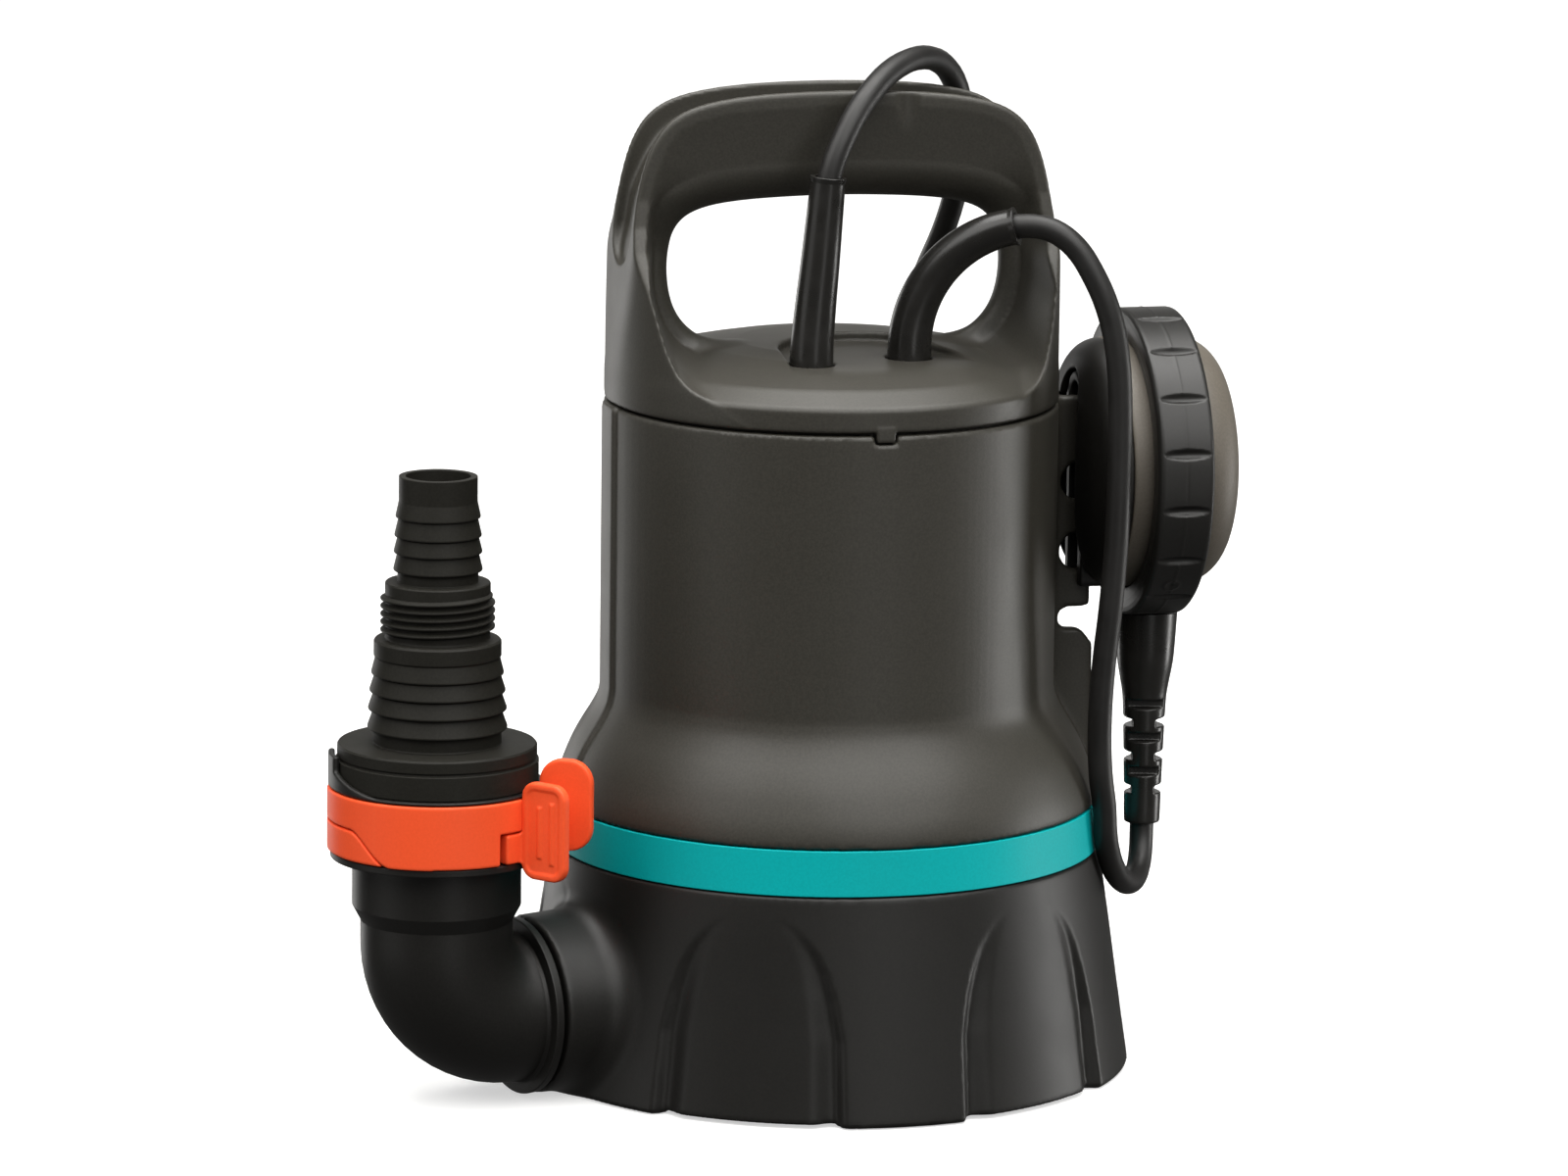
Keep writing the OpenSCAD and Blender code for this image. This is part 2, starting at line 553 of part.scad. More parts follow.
module locking_clip_rear() color(orange) at_arm() union() {
    difference() {
        sector(clip_r0, clip_r1, 77.4, 95.1, 101, 386);
        sector(clip_r0 - 2, clip_r1 + 2, 86, 97, 95, 139);
        sector(clip_r0 - 2, clip_r1 + 2, 86, 97, 324.5, 395);
    }
    difference() {
        paddle(114, 30, 47, 73, 101.6);
        translate([0, 0, 85.6]) cylinder(r = 32.4, h = 20);
        translate([0, 0, 60]) cylinder(r = 32.4, h = 17.8);
    }
}

// Outline of one hose barb: sharp edge below, long taper above
function barb(z, r, h, d) = [[r - d, z - 0.35], [r, z], [r, z + 0.5], [r - d, z + h]];
// Ring grooves at the pitch of the pipe thread, first crest at z
function threads(z, n) = [for (k = [0 : n - 1],
    p = [[-0.95, 0], [-0.2, 1.48], [0.2, 1.48], [0.95, 0]])
    [thread_r - 1.48 + p[1], z + k * thread_pitch + p[0]]];

module hose_adapter() color(black) at_arm() difference() {
    rotate_extrude() polygon(concat(
        [[17.8, 84], [21.92, 84], [21.92, 99.3], [29.5, 99.3], [29.5, 104.2], [28.6, 104.4],
        [28.6, 104.9], [29, 105.1], [29, 108.4], [28.6, 108.8], [18.6, 108.8], [18.6, 112]],
        barb(113.2, 20.3, 5, 1.6), barb(118.7, 20.1, 4.8, 1.5), barb(124, 19.7, 4.8, 1.4),
        barb(129.2, 19.2, 4.8, 1.1), [[18.5, 134.5], [18.5, 138.6], [17.9, 139.2], [15.1, 139.4]],
        threads(141.68, 5), [[15.1, 152], [15.3, 152.2], [15.3, 155.8], [12.4, 156]],
        barb(159.5, 12.9, 4.6, 1), barb(164.7, 12.8, 4.4, 1), barb(169.5, 12.6, 4.8, 1),
        barb(175, 12.3, 4.6, 0.9), [[11.4, 180.4], [11.4, adapter_top_z], [9.4, adapter_top_z],
        [9.4, 156], [12.4, 151], [12.4, 139], [15.5, 135], [15.5, 113], [17.8, 107]]));
    // groove for the adapter's seal
    translate([0, 0, 90]) tube(24, 20.7, 3);
}

module adapter_seal() color([0.15, 0.15, 0.15]) at_arm() translate([0, 0, 91.5])
    rotate_extrude() translate([21.3, 0]) circle(r = 0.58, $fn = 24);

// ---- float switch ----

module at_float() translate([0, float_y, float_z]) rotate([0, 90, 0]) children();

module float_inner_shell() color(taupe) at_float() rotate_extrude() polygon([[0, 81.8],
    [36.8, 81.8], [float_dome_r, 83.2], [float_dome_r, 98.7], [35, 98.7], [35, 86.4],
    [34, 84.2], [0, 84.2]]);

module float_outer_shell() color(taupe) at_float() rotate_extrude() polygon([[0, 117.8],
    [26, 117.8], [31.5, 116.2], [35.5, 112.6], [float_dome_r, 107], [float_dome_r, 99.3],
    [35, 99.3], [35, 106.6], [33.2, 111], [29.6, 114.2], [25, 115.4], [0, 115.4]]);

module float_ring() color(black) at_float() rotate_extrude() polygon([[37.8, 88.2],
    [42, 87.8], [45, 88.2], [float_ring_r, 89.4], [float_ring_r, 103.4], [45, 104.8],
    [42, 105.2], [37.8, 104.9]]);

module float_seal() color(black) at_float() translate([0, 0, 98.8]) tube(37.4, 35.2, 0.4);

// Fork on the float that straddles the rail of the housing
module float_clip() color(black) difference() {
    translate([75, -9.6, 142]) cube([6.7, 14.4, 58]);
    translate([70, fin_y0 - 0.4, 130]) cube([fin_x + 0.4 - 70, fin_y1 - fin_y0 + 0.8, 80]);
}

module ball_cage() color([0.8, 0.8, 0.78]) difference() {
    union() {
        translate([99, float_y, float_z - 30]) cylinder(r = 9, h = 42);
        translate([97, float_y, float_z - 34.4]) cylinder(r = 4.5, h = 5);
    }
    translate([99, float_y, float_z - 28.5]) cylinder(r = 7.6, h = 60);
    for (a = [0 : 90 : 270]) translate([99, float_y, float_z - 24]) rotate([0, 0, a + 45])
        translate([4, -2.5, 0]) cube([8, 5, 30]);
}

module switch_ball() color(steel) translate([99, float_y, float_z - 21.1]) sphere(r = 7);

module micro_switch() color([0.1, 0.1, 0.1]) {
    translate([91, float_y - 10, float_z + 13.5]) cube([16, 20, 12]);
    translate([98, float_y - 8, float_z + 12.3]) cube([2, 12, 1.2]);
    translate([97, float_y, float_z + 25.5]) cylinder(r = 4, h = 8.8);
}

// Moulded boot where the lead enters the float, with a slotted bend relief
module float_boot() color(black) translate([97.8, float_y, 0]) difference() {
    rotate_extrude() polygon([[0, 68.4], [6, 68.4], [6.2, 76], [6.2, 104], [6.6, 110],
        [8.2, 119], [8.4, 131], [9, 133.4], [0, 133.4]]);
    // saddle that fits the round float
    translate([0, 0, float_z]) rotate([0, 90, 0]) translate([0, 0, -30])
        cylinder(r = float_ring_r + 0.1, h = 60);
    // flex slots, left and right
    for (z = [76.5, 87, 97.5], s = [-1, 1]) translate([s * 6.2 - 2.6, -10, z]) cube([5.2, 20, 2.6]);
    // flex slots, front and back
    for (z = [81.8, 92.3, 102.8], s = [-1, 1]) translate([-10, s * 6.2 - 2.6, z]) cube([20, 5.2, 2.2]);
}

pump_base();
suction_plate();
suction_screws();
volute_casing();
volute_screws();
volute_seal();
impeller();
impeller_nut();
seal_carrier();
shaft_seal();
lower_bearing();
motor_shaft();
rotor_core();
stator_core();
lower_winding();
upper_winding();
motor_can();
upper_bearing();
upper_motor_cover();
thermal_switch();
run_capacitor();
terminal_block();
base_screws();
housing_gasket();
decor_ring();
motor_housing();
cap_seal();
handle_cap();
power_gland();
float_gland();
power_bend_sleeve();
float_bend_sleeve();
power_cord();
power_cord_coil();
power_cord_end();
cord_tie();
power_plug();
float_cord();
outlet_elbow();
elbow_seal();
valve_seat();
valve_pin();
valve_flap();
locking_clip_front();
locking_clip_rear();
hose_adapter();
adapter_seal();
float_inner_shell();
float_outer_shell();
float_ring();
float_seal();
float_clip();
ball_cage();
switch_ball();
micro_switch();
float_boot();
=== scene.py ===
# Submersible sump pump: the looks of every piece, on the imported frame.
import json
import math

import bpy
import numpy as np
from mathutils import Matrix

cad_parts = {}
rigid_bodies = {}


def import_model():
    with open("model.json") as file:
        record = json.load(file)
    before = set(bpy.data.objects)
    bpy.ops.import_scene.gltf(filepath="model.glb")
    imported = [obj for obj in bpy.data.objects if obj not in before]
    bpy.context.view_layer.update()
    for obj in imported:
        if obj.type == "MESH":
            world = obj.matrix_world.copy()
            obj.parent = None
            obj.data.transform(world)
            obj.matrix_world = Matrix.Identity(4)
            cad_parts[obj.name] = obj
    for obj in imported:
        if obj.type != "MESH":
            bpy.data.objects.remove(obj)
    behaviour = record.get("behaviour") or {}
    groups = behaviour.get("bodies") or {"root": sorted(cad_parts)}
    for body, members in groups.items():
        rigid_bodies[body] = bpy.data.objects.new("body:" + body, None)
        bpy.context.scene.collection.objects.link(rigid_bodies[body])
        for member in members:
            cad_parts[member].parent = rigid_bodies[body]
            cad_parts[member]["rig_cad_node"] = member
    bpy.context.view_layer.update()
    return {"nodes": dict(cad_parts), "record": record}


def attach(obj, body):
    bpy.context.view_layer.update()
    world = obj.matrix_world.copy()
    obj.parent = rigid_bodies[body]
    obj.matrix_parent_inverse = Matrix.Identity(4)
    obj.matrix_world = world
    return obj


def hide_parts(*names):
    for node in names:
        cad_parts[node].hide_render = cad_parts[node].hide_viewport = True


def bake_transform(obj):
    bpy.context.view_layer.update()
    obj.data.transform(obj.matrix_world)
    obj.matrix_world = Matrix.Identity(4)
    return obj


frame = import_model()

import openvdb as vdb
from mathutils import Matrix, Vector

nodes = frame["nodes"]
scene = bpy.context.scene
rng = np.random.default_rng(7)
COARSE = 1.0

# ---------------------------------------------------------------- camera
CAM_AT = Vector((-0.5299, -2.1503, 0.5665))
CAM_TO = Vector((-0.01290, 0.00310, 0.14228))
CAM_ROLL = 0.0129718
f = (CAM_TO - CAM_AT).normalized()
r = f.cross(Vector((0, 0, 1))).normalized()
u = r.cross(f)
r2 = math.cos(CAM_ROLL) * r + math.sin(CAM_ROLL) * u
u2 = -math.sin(CAM_ROLL) * r + math.cos(CAM_ROLL) * u
cam_data = bpy.data.cameras.new("camera")
cam_data.lens = 173.9
cam_data.sensor_width = 36
cam_data.sensor_fit = "HORIZONTAL"
cam_data.clip_start, cam_data.clip_end = 0.05, 60
cam = bpy.data.objects.new("camera", cam_data)
scene.collection.objects.link(cam)
cam.matrix_world = Matrix(
    (
        (r2.x, u2.x, -f.x, CAM_AT.x),
        (r2.y, u2.y, -f.y, CAM_AT.y),
        (r2.z, u2.z, -f.z, CAM_AT.z),
        (0, 0, 0, 1),
    )
)
scene.camera = cam

# ---------------------------------------------------------------- frames, in millimetres
TURN = math.radians(197.5)
ROT = np.array(
    [[math.cos(TURN), -math.sin(TURN), 0], [math.sin(TURN), math.cos(TURN), 0], [0, 0, 1]]
)
ARM_X, BEND_R, OUT_Z = 132.0, 23.0, 27.0
FLOAT_Y, FLOAT_Z = -2.5, 178.8


def at_outlet(p):
    """Outlet frame (X out of the stub, Z = 0 on its axis) to the row frame."""
    return np.asarray(p, float) @ ROT.T + np.array([0, 0, OUT_Z])


def at_arm(p):
    """Frame on the floor under the upright arm to the row frame."""
    return (np.asarray(p, float) + np.array([ARM_X, 0, 0])) @ ROT.T


# ---------------------------------------------------------------- meshes
def make(name, V, quads=None, tris=None, normals=None, at=None):
    """A mesh object from points in millimetres, with a normal at each point."""
    V = np.asarray(V, float)
    if at is not None:
        if normals is not None:
            normals = at(np.asarray(normals) + V) - at(V)
        V = at(V)
    parts = []
    if quads is not None and len(quads):
        parts.append(np.asarray(quads, np.int64))
    if tris is not None and len(tris):
        parts.append(np.asarray(tris, np.int64))
    me = bpy.data.meshes.new(name)
    me.vertices.add(len(V))
    me.vertices.foreach_set("co", (V * 0.001).astype(np.float32).ravel())
    corner = np.concatenate([p.ravel() for p in parts]).astype(np.int32)
    size = np.concatenate([np.full(len(p), p.shape[1]) for p in parts]).astype(np.int32)
    me.loops.add(len(corner))
    me.loops.foreach_set("vertex_index", corner)
    me.polygons.add(len(size))
    me.polygons.foreach_set(
        "loop_start", np.concatenate([[0], np.cumsum(size)[:-1]]).astype(np.int32)
    )
    me.polygons.foreach_set("loop_total", size)
    me.polygons.foreach_set("use_smooth", np.ones(len(size), bool))
    me.update(calc_edges=True)
    me.validate(clean_customdata=False)
    if normals is not None and len(me.vertices) == len(normals):
        N = np.asarray(normals, float)
        N /= np.maximum(np.linalg.norm(N, axis=1, keepdims=True), 1e-9)
        me.normals_split_custom_set_from_vertices(N.tolist())
    o = bpy.data.objects.new(name, me)
    scene.collection.objects.link(o)
    return o


def join(objs, name):
    """Several solids as one piece."""
    bpy.ops.object.select_all(action="DESELECT")
    for o in objs:
        o.select_set(True)
    bpy.context.view_layer.objects.active = objs[0]
    bpy.ops.object.join()
    objs[0].name = name
    objs[0].data.name = name
    return objs[0]


# ---- turned and swept solids: a closed outline of (radius, run) points
def rounded(P, r, n=3):
    """Fillets the corners of a closed outline; points with their outward normals."""
    P = [tuple(map(float, p)) for p in P]
    area = sum(
        a[0] * b[1] - b[0] * a[1] for a, b in zip(P, P[1:] + P[:1])
    )
    if area < 0:
        P = P[::-1]
    out = []
    L = len(P)
    for i in range(L):
        a, b, c = (np.array(P[(i + k) % L]) for k in (-1, 0, 1))
        u, v = b - a, c - b
        lu, lv = np.linalg.norm(u), np.linalg.norm(v)
        if lu < 1e-6 or lv < 1e-6:
            continue
        u, v = u / lu, v / lv
        if b[0] < 1e-6:  # on the axis
            n0 = (u[1], -u[0]) if a[0] > 1e-6 else (v[1], -v[0])
            out.append((b[0], b[1], n0[0], n0[1]))
            continue
        ang = math.acos(max(-1, min(1, float(u @ v))))
        if ang < 0.02:
            out.append((b[0], b[1], u[1], -u[0]))
            continue
        t = min(r * math.tan(ang / 2), 0.46 * lu, 0.46 * lv)
        p0, p2 = b - t * u, b + t * v
        m = max(1, min(n, int(math.ceil(math.degrees(ang) / 22))))
        for k in range(m + 1):
            s = k / m
            q = (1 - s) ** 2 * p0 + 2 * s * (1 - s) * b + s * s * p2
            d = (1 - s) * (b - p0) + s * (p2 - b)
            d /= max(np.linalg.norm(d), 1e-9)
            out.append((q[0], q[1], d[1], -d[0]))
    return np.array(out)


def straight(origin=(0, 0, 0), axis=(0, 0, 1), side=(1, 0, 0)):
    o, t, u = (np.asarray(v, float) for v in (origin, axis, side))
    t = t / np.linalg.norm(t)
    u = u - (u @ t) * t
    u = u / np.linalg.norm(u)
    v = np.cross(t, u)

    def at(s):
        s = np.asarray(s, float)[:, None]
        one = np.ones_like(s)
        return o + s * t, one * u, one * v, one * t

    return at


def elbow_run(s):
    """Centreline of the elbow in the outlet frame: straight, quarter bend, straight up."""
    s = np.asarray(s, float)
    x0 = ARM_X - BEND_R
    arc = BEND_R * math.pi / 2
    a = np.clip((s - x0) / BEND_R, 0, math.pi / 2)
    up = np.maximum(s - x0 - arc, 0)
    C = np.stack(
        [
            np.minimum(s, x0) + BEND_R * np.sin(a),
            0 * s,
            BEND_R * (1 - np.cos(a)) + up,
        ],
        1,
    )
    T = np.stack([np.cos(a), 0 * s, np.sin(a)], 1)
    V = np.stack([0 * s, np.ones_like(s), 0 * s], 1)
    U = np.cross(V, T)
    return C, U, V, T


def path_run(P):
    """Centreline through points, with frames that don't twist."""
    P = np.asarray(P, float)
    seg = np.linalg.norm(np.diff(P, axis=0), axis=1)
    S = np.concatenate([[0], np.cumsum(seg)])
    T = np.gradient(P, S, axis=0)
    T /= np.linalg.norm(T, axis=1, keepdims=True)
    U = np.zeros_like(P)
    ref = np.array([0, 0, 1.0]) if abs(T[0][2]) < 0.8 else np.array([1.0, 0, 0])
    for i in range(len(P)):
        ref = ref - (ref @ T[i]) * T[i]
        ref /= np.linalg.norm(ref)
        U[i] = ref
    V = np.cross(T, U)

    def at(s):
        pick = lambda A: np.stack([np.interp(s, S, A[:, k]) for k in range(3)], 1)
        return pick(P), pick(U), pick(V), pick(T)

    at.length = S[-1]
    return at


def turned(name, outline, r=0.35, seg=128, run=None, step=None, at=None, rad=None):
    """A solid of revolution, or a pipe along a run. rad(theta, s, r) may shift radii."""
    Q = rounded(outline, r)
    if step:
        rows = []
        for a, b in zip(Q, np.roll(Q, -1, 0)):
            rows.append(a)
            if a[0] > 1e-6 and b[0] > 1e-6:
                k = int(abs(b[1] - a[1]) // step)
                for j in range(1, k + 1):
                    w = j / (k + 1)
                    n = a[2:] * (1 - w) + b[2:] * w
                    rows.append(np.concatenate([a[:2] * (1 - w) + b[:2] * w, n]))
        Q = np.array(rows)
    run = run or straight()
    C, U, V, T = run(Q[:, 1])
    th = np.arange(seg) / seg * 2 * math.pi
    c, s = np.cos(th)[None, :, None], np.sin(th)[None, :, None]
    radial = c * U[:, None, :] + s * V[:, None, :]
    R = np.repeat(Q[:, 0:1], seg, 1)
    if rad is not None:
        R = rad(th[None, :], Q[:, 1:2], R)
    P = C[:, None, :] + R[:, :, None] * radial
    N = Q[:, 2][:, None, None] * radial + Q[:, 3][:, None, None] * T[:, None, :]
    m = len(Q)
    if rad is not None:  # normals from the surface itself
        dth = np.roll(P, -1, 1) - np.roll(P, 1, 1)
        ds = np.roll(P, -1, 0) - np.roll(P, 1, 0)
        num = np.cross(dth, ds)
        num /= np.maximum(np.linalg.norm(num, axis=2, keepdims=True), 1e-9)
        keep = (np.linalg.norm(num, axis=2, keepdims=True) > 0.5) & (
            np.sum(num * N, 2, keepdims=True) > 0.2
        )
        N = np.where(keep, num, N)
    index = np.arange(m * seg).reshape(m, seg)
    for j in range(m):
        if Q[j, 0] < 1e-6:
            index[j, :] = index[j, 0]
    quads, tris = [], []
    for j in range(m):
        k = (j + 1) % m
        a, b = index[j], np.roll(index[j], -1)
        d, e = index[k], np.roll(index[k], -1)
        pj, pk = Q[j, 0] < 1e-6, Q[k, 0] < 1e-6
        if pj and pk:
            continue
        if pj:
            tris.append(np.stack([a, e, d], 1))
        elif pk:
            tris.append(np.stack([a, b, d], 1))
        else:
            quads.append(np.stack([a, b, e, d], 1))
    V3, N3 = P.reshape(-1, 3), N.reshape(-1, 3)
    quads = np.concatenate(quads) if quads else np.zeros((0, 4), int)
    tris = np.concatenate(tris) if tris else np.zeros((0, 3), int)
    used = np.unique(np.concatenate([quads.ravel(), tris.ravel()]))
    remap = np.zeros(len(V3), int)
    remap[used] = np.arange(len(used))
    return make(name, V3[used], remap[quads], remap[tris], N3[used], at)


def tube(name, P, radius, seg=20, step=3.0, close=True, at=None):
    """Round solid rod along points."""
    run = path_run(P)
    L = run.length
    out = [(0, 0), (radius, 0), (radius, L), (0, L)]
    return turned(name, out, r=min(0.4, radius / 3), seg=seg, run=run, step=step, at=at)


# ---- moulded solids: a signed distance on a grid
class Grid:
    def __init__(self, lo, hi, h):
        self.h = h
        self.lo = np.array(lo, float)
        n = np.ceil((np.array(hi, float) - self.lo) / h).astype(int) + 1
        self.shape = tuple(n)
        ax = [(self.lo[k] + h * np.arange(n[k])).astype(np.float32) for k in range(3)]
        self.x, self.y, self.z = ax[0][:, None, None], ax[1][None, :, None], ax[2][None, None, :]


def smin(a, b, k):
    h = np.maximum(k - np.abs(a - b), 0) / k
    return np.minimum(a, b) - h * h * (k / 4)


def smax(a, b, k):
    return -smin(-a, -b, k)


def box(x, y, z, lo, hi, r=0.0):
    """Distance to a box with edges rounded by r."""
    q = []
    for v, a, b in ((x, lo[0], hi[0]), (y, lo[1], hi[1]), (z, lo[2], hi[2])):
        q.append(np.abs(v - (a + b) / 2) - (b - a) / 2 + r)
    out = np.sqrt(sum(np.maximum(v, 0) ** 2 for v in q))
    return out + np.minimum(np.maximum(np.maximum(q[0], q[1]), q[2]), 0) - r


def polygon(x, y, P):
    """Signed distance to a closed outline in a plane."""
    x, y = np.broadcast_arrays(np.asarray(x, np.float32), np.asarray(y, np.float32))
    d = np.full(x.shape, 1e12, np.float32)
    inside = np.zeros(x.shape, bool)
    P = np.asarray(P, float)
    for a, b in zip(P, np.roll(P, -1, 0)):
        e = b - a
        l2 = float(e @ e)
        if l2 < 1e-12:
            continue
        wx, wy = x - a[0], y - a[1]
        t = np.clip((wx * e[0] + wy * e[1]) / l2, 0, 1)
        d = np.minimum(d, (wx - e[0] * t) ** 2 + (wy - e[1] * t) ** 2)
        if abs(e[1]) > 1e-9:
            hit = (a[1] > y) != (b[1] > y)
            inside ^= hit & (x < e[0] * (y - a[1]) / e[1] + a[0])
    return np.where(inside, -1, 1) * np.sqrt(d)


def revolve(g, r, P):
    """Distance to a solid turned about Z, given r on the grid's XY plane."""
    rmax = float(r.max()) + 2
    dr = 0.25
    table = np.arange(0, rmax + 2 * dr, dr)
    T = polygon(table[:, None], g.z[0], P).astype(np.float32)
    q = r[:, :, 0] / dr
    i = np.floor(q).astype(int)
    w = (q - i).astype(np.float32)[:, :, None]
    return T[i] * (1 - w) + T[i + 1] * w


def soften(P, n=2, closed=True):
    """Cuts the corners of an outline, so that it runs smoothly."""
    P = np.asarray(P, float)
    for _ in range(n):
        if closed:
            Q = np.roll(P, -1, 0)
            P = np.stack([0.75 * P + 0.25 * Q, 0.25 * P + 0.75 * Q], 1).reshape(-1, 2)
        else:
            Q = np.stack([0.75 * P[:-1] + 0.25 * P[1:], 0.25 * P[:-1] + 0.75 * P[1:]], 1)
            P = np.concatenate([P[:1], Q.reshape(-1, 2), P[-1:]])
    return P


def sample(F, g, P):
    q = (P - g.lo) / g.h
    i = np.clip(np.floor(q).astype(int), 0, np.array(F.shape) - 2)
    t = np.clip(q - i, 0, 1)
    out = 0
    for dx in (0, 1):
        for dy in (0, 1):
            for dz in (0, 1):
                w = (
                    (t[:, 0] if dx else 1 - t[:, 0])
                    * (t[:, 1] if dy else 1 - t[:, 1])
                    * (t[:, 2] if dz else 1 - t[:, 2])
                )
                out = out + w * F[i[:, 0] + dx, i[:, 1] + dy, i[:, 2] + dz]
    return out


def slope(F, g, P, e):
    G = np.zeros_like(P)
    for k in range(3):
        d = np.zeros(3)
        d[k] = e
        G[:, k] = (sample(F, g, P + d) - sample(F, g, P - d)) / (2 * e)
    return G


def moulded(name, g, F, adapt=0.0, at=None):
    """The zero surface of a field as a mesh, its points pulled onto the surface."""
    F = np.ascontiguousarray(np.broadcast_to(F, g.shape), np.float32)
    b = 3 * g.h
    grid = vdb.FloatGrid(b)
    grid.copyFromArray(np.clip(F, -b, b))
    P, tris, quads = grid.convertToPolygons(0.0, adapt)
    P = P.astype(float) * g.h + g.lo
    for _ in range(2):
        G = slope(F, g, P, 0.5 * g.h)
        v = sample(F, g, P)
        step = -v[:, None] * G / np.maximum((G**2).sum(1, keepdims=True), 0.05)
        n = np.linalg.norm(step, axis=1, keepdims=True)
        P += step * np.minimum(1, 0.6 * g.h / np.maximum(n, 1e-9))
    N = slope(F, g, P, 0.6 * g.h)
    tris, quads = tris.astype(np.int64), quads.astype(np.int64)
    vol = 0.0
    for F3 in ([tris] if len(tris) else []) + (
        [quads[:, [0, 1, 2]], quads[:, [0, 2, 3]]] if len(quads) else []
    ):
        a, c, d = (P[F3[:, k]] for k in range(3))
        vol += np.einsum("ij,ij->i", a, np.cross(c, d)).sum()
    if vol < 0:
        tris, quads = tris[:, ::-1], quads[:, ::-1]
    return make(name, P, quads, tris, N, at)


def ramp(v, a, b):
    t = np.clip((v - a) / (b - a), 0, 1)
    return t * t * (3 - 2 * t)


# ---------------------------------------------------------------- leads first
LEAD = 7.2
POWER = [[-9.3, -28.35, 263.0], [-8.7, -28.4, 270], [-6.6, -27.6, 275.5], [-3.4, -26, 281.6],
    [0.6, -23, 287.8], [5.7, -19, 292.9], [12, -13, 297.6], [19.8, -6, 300.5], [27.4, 2, 300.7],
    [34.8, 11, 298], [40.6, 18.6, 292.4], [44, 22.5, 285], [45.6, 25, 273.5],
    [45, 27, 261.5], [43.6, 29.5, 252], [41.4, 33.5, 242], [39.4, 40, 233], [38.8, 48, 224.5],
    [38.8, 57, 216], [37.6, 65, 206], [35.6, 69, 194], [32.4, 71, 180], [28.2, 72.5, 166],
    [23.2, 74, 152], [18, 76, 138], [13, 79, 124], [8, 82, 111], [3, 85, 99],
    [-1.5, 87.5, 87], [-5.5, 89.5, 75], [-8, 91.5, 63], [-8.5, 93.5, 51], [-6, 95.5, 39],
    [-0.5, 97.5, 28], [7, 98.8, 18.5], [16, 99.5, 11], [26, 99.6, 6], [36, 99, 4.6]]
PLUG = [[74.3, 232.5, 41.2], [69.5, 235.4, 43.6], [64.5, 238, 47.4], [60.5, 239.8, 50.8],
    [56.5, 240.7, 53.8], [52.5, 241, 55.4], [47.0, 241, 55.4]]
FLOAT = [[44.0, -31.8, 254.2], [46.9, -33.2, 254.9], [52.2, -35.8, 255.2], [57.2, -38.2, 254],
    [63.2, -41, 249], [67.4, -43, 242], [70.8, -44.6, 234.5], [73.7, -45.6, 224.5],
    [75.3, -46, 213], [76, -46, 198], [76, -46, 181], [75.6, -46, 163], [74.4, -45.4, 143],
    [73.2, -44.2, 128], [72.6, -43, 114], [72.8, -42, 101], [73.8, -41, 90], [75.4, -39.6, 82],
    [76.2, -38.4, 73.2], [77.6, -36.4, 67.6], [81, -31.8, 60.4], [85.6, -25.4, 55.3],
    [89.6, -19, 53.2], [93.2, -12.6, 53.3], [95.4, -8.4, 55.3], [96.8, -5.4, 58.4],
    [97.6, -3.2, 62.9], [97.8, -2.5, 67.3], [97.8, -2.5, 72.0]]


def smooth_path(P, step):
    """Catmull-Rom through the points, then even steps."""
    P = np.asarray(P, float)
    Q = np.concatenate([[2 * P[0] - P[1]], P, [2 * P[-1] - P[-2]]])
    out = []
    for i in range(1, len(Q) - 2):
        a, b, c, d = Q[i - 1 : i + 3]
        ta, tb, tc = (np.linalg.norm(v) ** 0.5 for v in (b - a, c - b, d - c))
        m1 = (c - b) + tb * ((b - a) / ta - (c - a) / (ta + tb))
        m2 = (c - b) + tb * ((d - c) / tc - (d - b) / (tb + tc))
        for t in np.linspace(0, 1, 12, endpoint=False):
            out.append(
                b * (2 * t**3 - 3 * t**2 + 1)
                + m1 * (t**3 - 2 * t**2 + t)
                + c * (3 * t**2 - 2 * t**3)
                + m2 * (t**3 - t**2)
            )
    out.append(P[-1])
    out = np.array(out)
    S = np.concatenate([[0], np.cumsum(np.linalg.norm(np.diff(out, axis=0), axis=1))])
    n = max(2, int(round(S[-1] / step)) + 1)
    s = np.linspace(0, S[-1], n)
    return np.stack([np.interp(s, S, out[:, k]) for k in range(3)], 1)


# the coil behind the pump: flat spirals, wound in and out, one layer on the other
COIL_C, RINGS, LAYER = (42.0, 177.0), [78.4, 71.2, 64.0, 56.8, 49.6], 7.2
turns = []
for layer in range(5):
    order = RINGS if layer % 2 == 0 else RINGS[::-1]
    for k, R in enumerate(order):
        nxt = order[k + 1] if k < 4 else R
        turns.append((R, nxt, 4.4 + LAYER * layer, LAYER if k == 4 else 0.0))
coil = []
LAST = 22  # the last turn is cut short where the lead lifts to the plug
for k, (R, nxt, z, lift) in enumerate(turns[: LAST + 1]):
    span = 360.0 if k < LAST else 145.77
    for a in np.arange(0.0 if k else 4.0, span - 1e-6, 6.0):
        if k < LAST:
            w = float(ramp(a, 290, 360))
            rr, zz = R + (nxt - R) * w, z + lift * w
        else:
            rr, zz = R, z + (40.6 - z) * float(ramp(a, 30, 150))
        az = math.radians(a - 90)
        wob = 0.2 * math.sin(3 * az + 1.7 * k) - 0.2
        rr += wob
        coil.append([COIL_C[0] + rr * math.cos(az), COIL_C[1] + rr * math.sin(az), zz])
mains = np.concatenate(
    [smooth_path(POWER + [[42, 98.6, 4.4]], 4.0)[:-1], smooth_path(coil, 5.0)[:], smooth_path(
        [[78, 229.9, 40.6]] + PLUG, 3.0)]
)
keep = [0]
